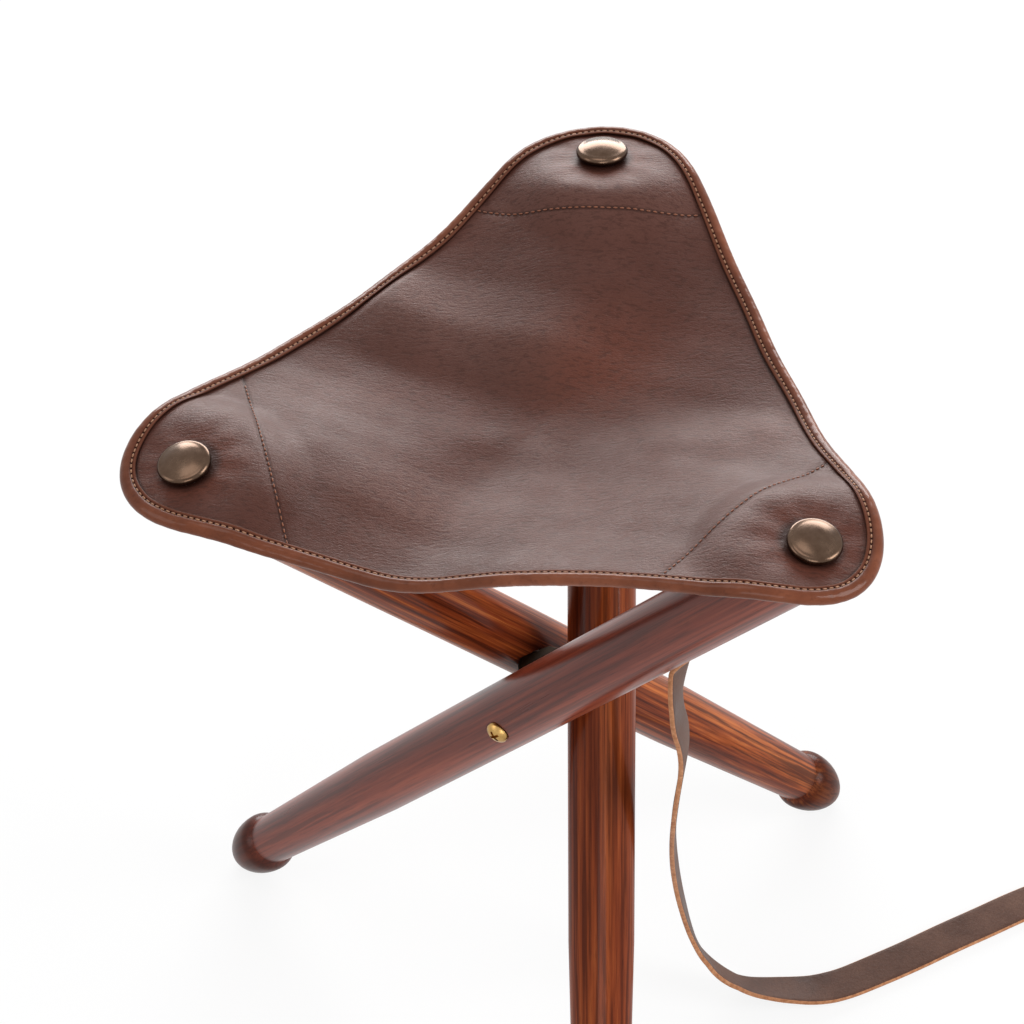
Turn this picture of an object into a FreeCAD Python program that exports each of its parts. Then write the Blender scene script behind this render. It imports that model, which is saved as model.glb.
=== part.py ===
import FreeCAD, Part
import math
import os
import Sketcher
from FreeCAD import Placement, Rotation, Vector

# Folding tripod stool: three turned legs cross at a three-way hub and carry a leather seat on their ends.
# Millimetres, floor at Z = 0, hub axis on Z. The rear leg's pivot screw points along +X.

doc = FreeCAD.newDocument("stool")
sheet = doc.addObject("Spreadsheet::Sheet", "dims")

SIZES = (
    # legs
    ("leg_tilt", "40"),
    ("leg_pivot_dia", "31.7"),
    ("leg_low_dia", "30.8"),
    ("leg_low_reach", "125"),
    ("leg_top_dia", "32.7"),
    ("leg_taper_start", "40"),
    ("leg_top_reach", "234"),
    ("leg_stock_over", "22"),
    ("foot_reach", "275.3"),
    ("foot_dia", "30.5"),
    ("foot_cap", "28"),
    ("foot_tip_radius", "8"),
    ("foot_shoulder_radius", "12"),
    ("foot_flat", "0.8"),
    ("neck_dia", "25"),
    # hub, washers and pivot screws
    ("hub_face", "9.75"),
    ("hub_corner_radius", "12.6"),
    ("hub_tall", "13.6"),
    ("hub_edge", "0.8"),
    ("washer_dia", "12"),
    ("washer_thick", "1.2"),
    ("washer_spot_deep", "0.8"),
    ("head_spot_deep", "1"),
    ("spot_clear", "0.6"),
    ("screw_dia", "5"),
    ("screw_tip_gap", "4"),
    ("screw_head_dia", "10.8"),
    ("screw_head_side", "1.6"),
    ("screw_head_tall", "4"),
    ("pivot_clear", "0.05"),
    ("thread_clear", "0.02"),
    ("recess_long", "5.4"),
    ("recess_wide", "1.3"),
    ("recess_deep", "2"),
    # leather seat
    ("panel_thick", "3.2"),
    ("seat_grow", "-13.7"),
    ("lobe_reach", "32.1"),
    ("lobe_full", "8.4"),
    ("lobe_tip", "2.2"),
    ("lobe_lean", "-1.9"),
    ("lobe_curl", "-0.66"),
    ("centre_sag", "27.4"),
    ("sag_crest", "0.993"),
    ("corner_narrow", "2.28"),
    ("side_rise", "7.5"),
    ("side_radius", "112"),
    ("edge_twist", "1.1"),
    ("stud_dip", "11"),
    ("clamp_flat", "20"),
    ("clamp_fade", "23"),
    ("binding_wide", "7"),
    ("binding_wall", "1.6"),
    ("binding_round", "2.6"),
    ("binding_clear", "0.2"),
    ("patch_thick", "2.4"),
    ("patch_inner_reach", "119"),
    ("leather_gap", "0.3"),
    ("trim_over", "60"),
    # corner studs
    ("stud_dia", "23.6"),
    ("stud_side", "4.6"),
    ("stud_tall", "6.6"),
    ("stud_edge", "2.2"),
    ("stud_shank_dia", "4.5"),
    ("stud_shank_long", "34"),
    # strap and what holds it
    ("strap_wide", "19"),
    ("strap_thick", "2.5"),
    ("strap_screw_reach", "132"),
    ("strap_end_over", "10"),
    ("strap_leg_run", "26"),
    ("strap_round_angle", "58"),
    ("strap_screw_dia", "4"),
    ("strap_screw_long", "18"),
    ("strap_head_dia", "8"),
    ("strap_head_tall", "2.4"),
    ("strap_washer_dia", "11"),
    ("strap_washer_thick", "0.8"),
)
for row, (name, value) in enumerate(SIZES, 1):
    sheet.set("A%d" % row, name)
    sheet.set("B%d" % row, value)
    sheet.setAlias("B%d" % row, name)
doc.recompute()


class Length:
    """A size with its value and the expression that binds it to the sheet."""

    def __init__(self, value, text):
        self.value = float(value)
        self.text = text

    def __add__(self, other):
        other = as_length(other)
        return Length(self.value + other.value, "(%s + %s)" % (self.text, other.text))

    def __sub__(self, other):
        other = as_length(other)
        return Length(self.value - other.value, "(%s - %s)" % (self.text, other.text))

    def __mul__(self, factor):
        return Length(self.value * factor, "(%s * %s)" % (self.text, factor))

    def __truediv__(self, factor):
        return Length(self.value / factor, "(%s / %s)" % (self.text, factor))

    def __neg__(self):
        return Length(-self.value, "(-1 * %s)" % self.text)


def as_length(size):
    return size if isinstance(size, Length) else Length(size, str(size))


def dim(name):
    return Length(sheet.get(name), "dims.%s" % name)


def num(name):
    return float(sheet.get(name))


# Frame of the stool
tilt = math.radians(num("leg_tilt"))
washer_level = dim("leg_pivot_dia") / 2 - dim("washer_spot_deep")
head_level = dim("leg_pivot_dia") / 2 - dim("head_spot_deep")
leg_offset = dim("hub_face") + dim("washer_thick") + washer_level
foot_centre = num("foot_reach") - num("foot_tip_radius")
hub_height = foot_centre * math.cos(tilt) + num("foot_tip_radius") - num("foot_flat")
leg_end_out = num("leg_top_reach") * math.sin(tilt)
leg_end_height = hub_height + num("leg_top_reach") * math.cos(tilt)
stud_radius = math.hypot(leg_offset.value, leg_end_out)
corner_angle = math.atan2(leg_end_out, leg_offset.value)
leather_stack = num("panel_thick") + num("patch_thick") + 2 * num("leather_gap")
stud_level = leg_end_height + leather_stack
SIDES = (("rear", 0), ("left", 120), ("right", 240))


def leg_place(angle):
    """Local X runs along the pivot screw, local Z up the leg, local Y out of its underside."""
    turn = Rotation(Vector(0, 0, 1), angle)
    lean = Rotation(Vector(1, 0, 0), -num("leg_tilt"))
    base = turn.multVec(Vector(leg_offset.value, 0, 0)) + Vector(0, 0, hub_height)
    return Placement(base, turn.multiply(lean))


def screw_place(angle, out):
    """Local Z points out along a pivot screw, from a point that lies `out` from the hub axis."""
    turn = Rotation(Vector(0, 0, 1), angle)
    lay = Rotation(Vector(0, 1, 0), 90)
    base = turn.multVec(Vector(out, 0, 0)) + Vector(0, 0, hub_height)
    return Placement(base, turn.multiply(lay))


# Modelling helpers
def new_body(label):
    body = doc.addObject("PartDesign::Body", label)
    body.Label = label
    return body


def plane_of(body, role):
    for feature in body.Origin.OriginFeatures:
        if feature.Role == role:
            return feature
    raise RuntimeError("no plane " + role)


def new_sketch(body, name, role, offset=None):
    sketch = body.newObject("Sketcher::SketchObject", name)
    sketch.AttachmentSupport = (plane_of(body, role), "")
    sketch.MapMode = "FlatFace"
    if offset is not None:
        sketch.AttachmentOffset = offset
    return sketch


def bind(sketch, index, size):
    sketch.setExpression("Constraints[%d]" % index, size.text)


def place_point(sketch, geometry, end, x, y):
    """Holds one end of a geometry at (x, y) measured from the sketch's origin."""
    for kind, size, axis in (("DistanceX", x, -2), ("DistanceY", y, -1)):
        if abs(size.value) < 1e-9:
            sketch.addConstraint(Sketcher.Constraint("PointOnObject", geometry, end, axis))
        else:
            index = sketch.addConstraint(Sketcher.Constraint(kind, -1, 1, geometry, end, size.value))
            bind(sketch, index, size)


def arc_through(start, stop, radius, side):
    """Arc from start to stop of a given radius; side 1 keeps its centre on the left of the way."""
    chord = stop - start
    half = chord.Length / 2
    across = Vector(-chord.y, chord.x, 0) / chord.Length
    centre = (start + stop) / 2 + across * (side * math.sqrt(radius * radius - half * half))
    first = math.atan2(start.y - centre.y, start.x - centre.x)
    last = math.atan2(stop.y - centre.y, stop.x - centre.x)
    circle = Part.Circle(centre, Vector(0, 0, 1), radius)
    if side > 0:
        return Part.ArcOfCircle(circle, first, last), 1
    return Part.ArcOfCircle(circle, last, first), 2


def closed_profile(sketch, nodes):
    """Nodes are (x, y) or (x, y, radius, side), where the radius belongs to the arc to the next node."""
    points = [Vector(node[0].value, node[1].value, 0) for node in nodes]
    starts = []
    for index, node in enumerate(nodes):
        start = points[index]
        stop = points[(index + 1) % len(points)]
        if len(node) == 4:
            shape, first_end = arc_through(start, stop, node[2].value, node[3])
            geometry = sketch.addGeometry(shape, False)
            rounding = Sketcher.Constraint("Radius", geometry, node[2].value)
            bind(sketch, sketch.addConstraint(rounding), node[2])
        else:
            first_end = 1
            geometry = sketch.addGeometry(Part.LineSegment(start, stop), False)
        starts.append((geometry, first_end))
    for index, (geometry, first_end) in enumerate(starts):
        after, after_end = starts[(index + 1) % len(starts)]
        sketch.addConstraint(Sketcher.Constraint("Coincident", geometry, 3 - first_end, after, after_end))
    for (geometry, first_end), node in zip(starts, nodes):
        place_point(sketch, geometry, first_end, node[0], node[1])


def add_circle(sketch, radius):
    geometry = sketch.addGeometry(Part.Circle(Vector(0, 0, 0), Vector(0, 0, 1), radius.value), False)
    sketch.addConstraint(Sketcher.Constraint("Coincident", geometry, 3, -1, 1))
    bind(sketch, sketch.addConstraint(Sketcher.Constraint("Radius", geometry, radius.value)), radius)


def revolve(body, name, nodes):
    """Turns a profile, drawn as (radius, height), about the body's Z axis."""
    sketch = new_sketch(body, name + "_profile", "XZ_Plane")
    closed_profile(sketch, nodes)
    turned = body.newObject("PartDesign::Revolution", name)
    turned.Profile = sketch
    turned.ReferenceAxis = (sketch, ["V_Axis"])
    turned.Angle = 360
    doc.recompute()
    return turned


def sink(body, name, place, radius, depth=None):
    """Cuts a round pocket that starts at a plane and runs along the plane's normal."""
    before = body.Shape.Volume
    sketch = new_sketch(body, name + "_mouth", "XY_Plane", place)
    add_circle(sketch, radius)
    pocket = body.newObject("PartDesign::Pocket", name)
    pocket.Profile = sketch
    pocket.Reversed = True
    if depth is None:
        pocket.Type = "ThroughAll"
    else:
        pocket.Type = "Length"
        pocket.Length = depth.value
        pocket.setExpression("Length", depth.text)
    doc.recompute()
    if not 1e-3 < before - body.Shape.Volume < before / 2:
        raise RuntimeError("%s of %s cuts wrongly" % (name, body.Label))
    return pocket


def facing(normal, point):
    """A plane at a point, whose normal is given."""
    return Placement(point, Rotation(Vector(0, 0, 1), normal))


# Seat surface: the height of the leather's upper face over the floor
def stud_point(angle):
    turn = Rotation(Vector(0, 0, 1), angle)
    return turn.multVec(Vector(leg_offset.value, leg_end_out, 0))


def lean_way(angle):
    return Rotation(Vector(0, 0, 1), angle).multVec(Vector(0, 1, 0))


def hang(x, y):
    """Free leather: high towards the corners, lower along the sides, lowest in the middle."""
    reach = math.hypot(x, y) / stud_radius
    turn = 3 * (math.atan2(y, x) - corner_angle)
    corner = ((1 + math.cos(turn)) / 2) ** num("corner_narrow")
    to_corner = num("centre_sag") * (1 - math.cos(math.pi * min(reach, 1.4) / num("sag_crest"))) / 2
    to_side = num("side_rise") * (reach * stud_radius / num("side_radius")) ** 2
    # one side of each corner hangs lower than the other, as the legs lean past each other
    along = min(reach / 1.2, 1)
    twist = num("edge_twist") * math.sin(turn) * 28.94 * along ** 3 * (1 - along) ** 2
    return corner * to_corner + (1 - corner) * to_side - twist


stud_hang = hang(stud_point(0).x, stud_point(0).y)
dip = math.radians(num("stud_dip"))


def seat_top(x, y):
    """Upper face of the leather, held flat under each stud and free between them."""
    level = hang(x, y) - stud_hang
    for _, angle in SIDES:
        away = Vector(x, y, 0) - stud_point(angle)
        share = (num("clamp_flat") + num("clamp_fade") - away.Length) / num("clamp_fade")
        share = max(0, min(1, share))
        share = share * share * (3 - 2 * share)
        level += share * (-math.tan(dip) * away.dot(lean_way(angle)) - level)
    return stud_level + level


def stud_normal(angle):
    return lean_way(angle) * math.sin(dip) + Vector(0, 0, math.cos(dip))


# Outline of the seat: three lobes with drawn-in sides
def outline_radius(angle):
    turn = 3 * (angle - corner_angle)
    lobes = num("lobe_reach") * math.cos(turn) + num("lobe_full") * math.cos(2 * turn)
    lobes += num("lobe_tip") * math.cos(3 * turn)
    # each lobe leans a little to one side
    lobes += num("lobe_lean") * math.sin(turn) + num("lobe_curl") * math.sin(2 * turn)
    return stud_radius + num("seat_grow") + lobes


def outline_point(angle, inset):
    step = 0.002
    here = Vector(math.cos(angle), math.sin(angle), 0) * outline_radius(angle)
    after = Vector(math.cos(angle + step), math.sin(angle + step), 0) * outline_radius(angle + step)
    before = Vector(math.cos(angle - step), math.sin(angle - step), 0) * outline_radius(angle - step)
    way = (after - before).normalize()
    return here + Vector(-way.y, way.x, 0) * inset


OUTLINE_POINTS = 72
tip_radius = outline_radius(corner_angle)


def outline_column(inset, low, high):
    """Upright column over the seat's outline, drawn in by an inset."""
    angles = [corner_angle + 2 * math.pi * step / OUTLINE_POINTS for step in range(OUTLINE_POINTS)]
    points = [outline_point(angle, inset) + Vector(0, 0, low) for angle in angles]
    curve = Part.BSplineCurve()
    curve.interpolate(points, PeriodicFlag=True)
    face = Part.Face(Part.Wire([curve.toShape()]))
    return face.extrude(Vector(0, 0, high - low))


GRID_STEPS = 44
grid_half = tip_radius + 12


def seat_layer(rise, thick):
    """A sheet of the given thickness whose upper face lies `rise` over the seat surface."""
    grid = []
    for row in range(GRID_STEPS + 1):
        x = grid_half * (2 * row / GRID_STEPS - 1)
        line = []
        for column in range(GRID_STEPS + 1):
            y = grid_half * (2 * column / GRID_STEPS - 1)
            line.append(Vector(x, y, seat_top(x, y) + rise))
        grid.append(line)
    surface = Part.BSplineSurface()
    surface.interpolate(grid)
    return surface.toShape().extrude(Vector(0, 0, -thick))


sub_parts = []


def finish(label, shape, place=None):
    """Adds a piece whose shape is set in code."""
    piece = doc.addObject("Part::Feature", label)
    piece.Label = label
    piece.Shape = shape
    if place is not None:
        piece.Placement = place
    sub_parts.append(piece)
    return piece


# Three-way hub: a turned brass block with a flat and a threaded hole for each leg
hub = new_body("three_way_hub")
hub_sketch = new_sketch(hub, "hub_round", "XY_Plane")
add_circle(hub_sketch, dim("hub_corner_radius"))
hub_pad = hub.newObject("PartDesign::Pad", "hub_block")
hub_pad.Profile = hub_sketch
hub_pad.setExpression("Length", "dims.hub_tall")
hub_pad.SideType = "Symmetric"
doc.recompute()
hub_edge = hub.newObject("PartDesign::Chamfer", "hub_edges")
hub_edge.Base = (hub_pad, ["Edge1", "Edge3"])
hub_edge.setExpression("Size", "dims.hub_edge")
doc.recompute()
along_x = Rotation(Vector(0, 0, 1), Vector(1, 0, 0))
flat_cut = sink(hub, "hub_flat", Placement(Vector(num("hub_face"), 0, 0), along_x), dim("hub_tall"))
bore_start = Placement(Vector(num("screw_tip_gap") - 1, 0, 0), along_x)
bore_cut = sink(hub, "hub_bore", bore_start, dim("screw_dia") / 2 + dim("thread_clear"))
hub_turn = hub.newObject("PartDesign::PolarPattern", "hub_thirds")
hub_turn.Originals = [flat_cut, bore_cut]
hub_turn.Axis = (hub_sketch, ["N_Axis"])
hub_turn.Angle = 360
hub_turn.Occurrences = 3
hub.Tip = hub_turn
doc.recompute()
hub.Placement = Placement(Vector(0, 0, hub_height), Rotation())
sub_parts.append(hub)

# Washers between the legs and the hub
for side, angle in SIDES:
    washer = new_body("pivot_washer_" + side)
    washer_inner = dim("screw_dia") / 2 + dim("pivot_clear")
    revolve(washer, "ring_" + side, [
        (washer_inner, as_length(0)),
        (dim("washer_dia") / 2, as_length(0)),
        (dim("washer_dia") / 2, dim("washer_thick")),
        (washer_inner, dim("washer_thick")),
    ])
    washer.Placement = screw_place(angle, num("hub_face"))
    sub_parts.append(washer)


# Screws with a domed head and a cross recess; Z = 0 is the underside of the head
def make_screw(label, shank, head, side_tall, head_tall, long, recess_scale):
    screw = new_body(label)
    rise = head_tall - side_tall
    dome_value = (head.value ** 2 / 4 + rise.value ** 2) / (2 * rise.value)
    dome_text = "((%s) ^ 2 / 4 + (%s) ^ 2) / (2 * (%s))" % (head.text, rise.text, rise.text)
    point = shank / 4
    revolve(screw, label + "_turned", [
        (as_length(0), -long),
        (shank / 2 - point, -long),
        (shank / 2, -(long - point)),
        (shank / 2, as_length(0)),
        (head / 2, as_length(0)),
        (head / 2, side_tall, Length(dome_value, dome_text), 1),
        (as_length(0), head_tall),
    ])
    before = screw.Shape.Volume
    top_place = Placement(Vector(0, 0, head_tall.value), Rotation())
    sketch = new_sketch(screw, label + "_cross", "XY_Plane", top_place)
    far = dim("recess_long") * (recess_scale / 2)
    near = dim("recess_wide") * (recess_scale / 2)
    closed_profile(sketch, [
        (far, -near), (far, near), (near, near), (near, far), (-near, far), (-near, near),
        (-far, near), (-far, -near), (-near, -near), (-near, -far), (near, -far), (near, -near),
    ])
    cross = screw.newObject("PartDesign::Pocket", label + "_recess")
    cross.Profile = sketch
    cross.setExpression("Length", "dims.recess_deep * %s" % recess_scale)
    cross.TaperAngle = 0
    doc.recompute()
    if before - screw.Shape.Volume < 1:
        raise RuntimeError("no recess in " + label)
    sub_parts.append(screw)
    return screw


head_out = leg_offset + head_level
for side, angle in SIDES:
    pivot = make_screw("pivot_screw_" + side, dim("screw_dia"), dim("screw_head_dia"), dim("screw_head_side"),
                       dim("screw_head_tall"), head_out - dim("screw_tip_gap"), 1)
    pivot.Placement = screw_place(angle, head_out.value)

# Legs: one turning each, with an acorn foot and a neck, thicker towards the top
belly = dim("foot_reach") - dim("foot_cap")
tip_to_belly = num("foot_cap") - num("foot_tip_radius")
half_belly = num("foot_dia") / 2
tip_radius_foot = num("foot_tip_radius")
belly_radius = half_belly ** 2 + tip_to_belly ** 2 - tip_radius_foot ** 2
belly_radius /= 2 * (half_belly - tip_radius_foot)
belly_text = ("((dims.foot_dia / 2) ^ 2 + (dims.foot_cap - dims.foot_tip_radius) ^ 2"
              " - dims.foot_tip_radius ^ 2)"
              " / (dims.foot_dia - 2 * dims.foot_tip_radius)")
# the tip's sphere and the belly's arc touch where the line through their centres leaves both
touch_share = tip_radius_foot / (belly_radius - tip_radius_foot)
touch_out = (belly_radius - half_belly) * touch_share
touch_down = num("foot_reach") - tip_radius_foot + tip_to_belly * touch_share
share_text = "dims.foot_tip_radius / (%s - dims.foot_tip_radius)" % belly_text
touch_out_text = "(%s - dims.foot_dia / 2) * %s" % (belly_text, share_text)
touch_down_text = ("(dims.foot_reach - dims.foot_tip_radius + (dims.foot_cap - dims.foot_tip_radius) * %s)"
                   % share_text)
shoulder_drop = num("foot_shoulder_radius") - half_belly + num("neck_dia") / 2
shoulder_rise = math.sqrt(num("foot_shoulder_radius") ** 2 - shoulder_drop ** 2)
shoulder_text = ("sqrt(dims.foot_shoulder_radius ^ 2"
                 " - (dims.foot_shoulder_radius - dims.foot_dia / 2 + dims.neck_dia / 2) ^ 2)")
shoulder = belly - Length(shoulder_rise, shoulder_text)
stock_top = dim("leg_top_reach") + dim("leg_stock_over")

# the strap is held on the far side of the leg, part of the way round from its underside
strap_round = Rotation(Vector(0, 0, 1), num("strap_round_angle"))
strap_normal = strap_round.multVec(Vector(0, 1, 0))
taper_share = (num("strap_screw_reach") - num("leg_taper_start")) / (stock_top.value - num("leg_taper_start"))
strap_leg_radius = (num("leg_pivot_dia") + (num("leg_top_dia") - num("leg_pivot_dia")) * taper_share) / 2
strap_level = strap_leg_radius + num("leather_gap")


def make_leg(side, angle):
    leg = new_body("leg_" + side)
    revolve(leg, "turning_" + side, [
        (as_length(0), -dim("foot_reach"), dim("foot_tip_radius"), 1),
        (Length(touch_out, touch_out_text), -Length(touch_down, touch_down_text),
         Length(belly_radius, belly_text), 1),
        (dim("foot_dia") / 2, -belly, dim("foot_shoulder_radius"), 1),
        (dim("neck_dia") / 2, -shoulder),
        (dim("leg_low_dia") / 2, -dim("leg_low_reach")),
        (dim("leg_pivot_dia") / 2, as_length(0)),
        (dim("leg_pivot_dia") / 2, dim("leg_taper_start")),
        (dim("leg_top_dia") / 2, stock_top),
        (as_length(0), stock_top),
    ])
    inward = leg_place(angle).Rotation.inverted()
    # the end is cut to lie under the leather, and the foot is levelled where it meets the floor
    end_normal = inward.multVec(stud_normal(angle))
    sink(leg, "end_cut_" + side, facing(end_normal, Vector(0, 0, num("leg_top_reach"))), dim("leg_pivot_dia"))
    floor_normal = inward.multVec(Vector(0, 0, -1))
    floor_point = Vector(0, 0, -foot_centre) + floor_normal * (tip_radius_foot - num("foot_flat"))
    sink(leg, "foot_level_" + side, facing(floor_normal, floor_point), dim("foot_dia") / 2)
    # pivot hole with a flat spot for the screw's head and one for the washer
    x_way = Vector(1, 0, 0)
    sink(leg, "pivot_hole_" + side, facing(x_way, x_way * -num("leg_pivot_dia")),
         dim("screw_dia") / 2 + dim("pivot_clear"))
    sink(leg, "head_spot_" + side, facing(x_way, x_way * head_level.value),
         dim("screw_head_dia") / 2 + dim("spot_clear"))
    sink(leg, "washer_spot_" + side, facing(x_way * -1, x_way * -washer_level.value),
         dim("washer_dia") / 2 + dim("spot_clear"))
    # blind hole for the stud, square to the cut end
    stud_deep = dim("stud_shank_long") - dim("panel_thick") - dim("patch_thick")
    sink(leg, "stud_hole_" + side, facing(end_normal * -1, Vector(0, 0, num("leg_top_reach"))),
         dim("stud_shank_dia") / 2 + dim("thread_clear"), stud_deep)
    if side == "right":
        strap_hole = strap_normal * (strap_leg_radius + 1) + Vector(0, 0, num("strap_screw_reach"))
        strap_deep = dim("strap_screw_long") - dim("strap_thick") + as_length(1)
        sink(leg, "strap_hole_" + side, facing(strap_normal * -1, strap_hole),
             dim("strap_screw_dia") / 2 + dim("thread_clear"), strap_deep)
    leg.Placement = leg_place(angle)
    sub_parts.append(leg)


for side, angle in SIDES:
    make_leg(side, angle)

# Leather seat: panel, edge binding folded over its edge, and a patch under each corner
low = hub_height
high = stud_level + num("trim_over")
panel_column = outline_column(num("binding_wall"), low, high)
shank_hole_radius = num("stud_shank_dia") / 2 + num("leather_gap")


def shank_holes(sides):
    holes = []
    for _, angle in sides:
        normal = stud_normal(angle)
        long = num("stud_shank_long")
        start = stud_point(angle) + Vector(0, 0, leg_end_height) - normal * (long / 4)
        holes.append(Part.makeCylinder(shank_hole_radius, long, start, normal))
    return holes


panel = seat_layer(0, num("panel_thick")).common(panel_column)
panel = panel.cut(shank_holes(SIDES))
finish("seat_panel", panel.Solids[0])

# the binding is a strip folded round the panel's edge; its section follows the leather's slope
BINDING_SECTIONS = 120


def binding_section(angle):
    wall = num("binding_wall")
    wide = num("binding_wide")
    curve = num("binding_round")
    clear = num("binding_clear")
    bevel = curve * (1 - math.sqrt(0.5))
    top = wall
    bottom = -num("panel_thick") - wall
    slot_bottom = -num("panel_thick") - clear

    def spot(inset, rise):
        point = outline_point(angle, inset)
        return Vector(point.x, point.y, seat_top(point.x, point.y) + rise)

    upper_arc = Part.Arc(spot(curve, top), spot(bevel, top - bevel), spot(0, top - curve))
    lower_arc = Part.Arc(spot(0, bottom + curve), spot(bevel, bottom + bevel), spot(curve, bottom))
    slot = [spot(curve, bottom), spot(wide, bottom), spot(wide, slot_bottom), spot(wall - clear, slot_bottom),
            spot(wall - clear, clear), spot(wide, clear), spot(wide, top), spot(curve, top)]
    edges = [upper_arc.toShape(), Part.LineSegment(spot(0, top - curve), spot(0, bottom + curve)).toShape(),
             lower_arc.toShape()]
    edges += [Part.LineSegment(start, stop).toShape() for start, stop in zip(slot, slot[1:])]
    return Part.Wire(edges)


side_middle = corner_angle + math.pi / 3
binding_angles = [side_middle + 2 * math.pi * step / BINDING_SECTIONS for step in range(BINDING_SECTIONS)]
binding = Part.makeLoft([binding_section(angle) for angle in binding_angles], True, False, True)
finish("edge_binding", binding)

patch_layer = seat_layer(-num("panel_thick") - num("leather_gap"), num("patch_thick"))
patch_column = outline_column(num("binding_wide") + num("leather_gap"), low, high)
across = Vector(-math.sin(corner_angle), math.cos(corner_angle), 0)
outward = Vector(math.cos(corner_angle), math.sin(corner_angle), 0)
block = Part.makeBox(2 * tip_radius, 2 * tip_radius, high - low)
block.Placement = Placement(outward * num("patch_inner_reach") - across * tip_radius + Vector(0, 0, low),
                            Rotation(Vector(0, 0, 1), math.degrees(corner_angle)))
patch = patch_layer.common(patch_column).common(block).cut(shank_holes(SIDES[:1])).Solids[0]
for side, angle in SIDES:
    finish("corner_patch_" + side, patch.copy(), Placement(Vector(0, 0, 0), Rotation(Vector(0, 0, 1), angle)))

# Corner studs: a low domed cap with a rolled edge on a long shank; Z = 0 lies on the leather
for side, angle in SIDES:
    stud = new_body("corner_stud_" + side)
    cap_out = dim("stud_dia") / 2
    cap_edge = dim("stud_edge")
    dome_rise = num("stud_tall") - num("stud_side")
    dome_half = num("stud_dia") / 2 - num("stud_edge")
    dome_radius = (dome_half ** 2 + dome_rise ** 2) / (2 * dome_rise)
    dome_text = ("((dims.stud_dia / 2 - dims.stud_edge) ^ 2 + (dims.stud_tall - dims.stud_side) ^ 2)"
                 " / (2 * (dims.stud_tall - dims.stud_side))")
    revolve(stud, "cap_" + side, [
        (as_length(0), -dim("stud_shank_long")),
        (dim("stud_shank_dia") / 4, -dim("stud_shank_long")),
        (dim("stud_shank_dia") / 2, -(dim("stud_shank_long") - dim("stud_shank_dia"))),
        (dim("stud_shank_dia") / 2, as_length(0)),
        (cap_out - cap_edge, as_length(0), cap_edge, 1),
        (cap_out, cap_edge),
        (cap_out, dim("stud_side") - cap_edge, cap_edge, 1),
        (cap_out - cap_edge, dim("stud_side"), Length(dome_radius, dome_text), 1),
        (as_length(0), dim("stud_tall")),
    ])
    normal = stud_normal(angle)
    leg_end = stud_point(angle) + Vector(0, 0, leg_end_height)
    stud_rise = leather_stack * math.cos(dip) + num("leather_gap")
    stud.Placement = Placement(leg_end + normal * stud_rise, Rotation(Vector(0, 0, 1), normal))
    sub_parts.append(stud)

# Strap: a flat strip that leaves the right leg, drops to the floor and lies along it
right_leg = leg_place(240)
strap_middle = strap_level + num("strap_thick") / 2
strap_start = num("strap_screw_reach") + num("strap_end_over")
floor_lie = num("strap_thick") / 2 + 0.2
strap_finish = strap_start - num("strap_leg_run")
leg_across = right_leg.Rotation.multVec(strap_round.multVec(Vector(-1, 0, 0)))
floor_across = Vector(-0.45, 0.89, 0)
# each stop of the route has the way across the strip there
STRAP_ROUTE = (
    (right_leg.multVec(strap_normal * strap_middle + Vector(0, 0, strap_start)), leg_across),
    (right_leg.multVec(strap_normal * strap_middle + Vector(0, 0, strap_finish)), leg_across),
    (Vector(59.9, -60.3, 258.4), Vector(0.5, 0.866, 0)),
    (Vector(65.8, -54.1, 223.9), Vector(0.17, 0.98, 0)),
    (Vector(61.4, -44.9, 180.2), Vector(-0.07, 0.99, 0.1)),
    (Vector(58.5, -32.3, 136.2), Vector(-0.16, 0.98, 0.17)),
    (Vector(59.7, -19, 91.6), Vector(-0.15, 0.98, 0.17)),
    (Vector(64.8, -11.4, 47.7), Vector(-0.2, 0.95, 0)),
    (Vector(72.4, -14.5, 21), Vector(-0.32, 0.91, -0.26)),
    (Vector(89.7, -21, 8.4), Vector(-0.07, 0.8, -0.5)),
    (Vector(111.9, -21.7, 5), Vector(-0.1, 0.95, -0.25)),
    (Vector(135, -19.2, 2.4), Vector(-0.1, 0.98, -0.05)),
    (Vector(164.6, -3.5, floor_lie), floor_across),
    (Vector(201.3, 18, floor_lie), floor_across),
    (Vector(240.2, 41, floor_lie), floor_across),
    (Vector(280.8, 58.6, floor_lie), floor_across),
    (Vector(325, 71, floor_lie), floor_across),
)


def rounded_route(stops):
    """Straight runs joined by tangent arcs, as (point, way along, place in the stop list) stations."""
    points = [stop[0] for stop in stops]
    stations = [(points[0], (points[1] - points[0]).normalize(), 0.0)]
    for index in range(1, len(points) - 1):
        into = points[index] - points[index - 1]
        out = points[index + 1] - points[index]
        shorter = min(into.Length, out.Length)
        into.normalize()
        out.normalize()
        turn = math.acos(max(-1, min(1, into.dot(out))))
        back = 0.45 * shorter
        radius = back / math.tan(turn / 2)
        print("strap bend %2d: radius %6.1f mm, turn %5.1f degrees" % (index, radius, math.degrees(turn)))
        toward = (out - into * into.dot(out)).normalize()
        start = points[index] - into * back
        centre = start + toward * radius
        steps = max(2, math.ceil(math.degrees(turn) / 9))
        for step in range(steps + 1):
            angle = turn * step / steps
            spoke = toward * -math.cos(angle) + into * math.sin(angle)
            way = into * math.cos(angle) + toward * math.sin(angle)
            share = index + 0.45 * (2 * step / steps - 1)
            stations.append((centre + spoke * radius, way, share))
    stations.append((points[-1], (points[-1] - points[-2]).normalize(), float(len(points) - 1)))
    return stations


def strip_section(point, way, across, half_wide, half_thick):
    across = (across - way * across.dot(way)).normalize()
    face = way.cross(across)
    corners = [point + across * (half_wide * i) + face * (half_thick * j)
               for i, j in ((-1, -1), (1, -1), (1, 1), (-1, 1))]
    return Part.makePolygon(corners + corners[:1])


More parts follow.
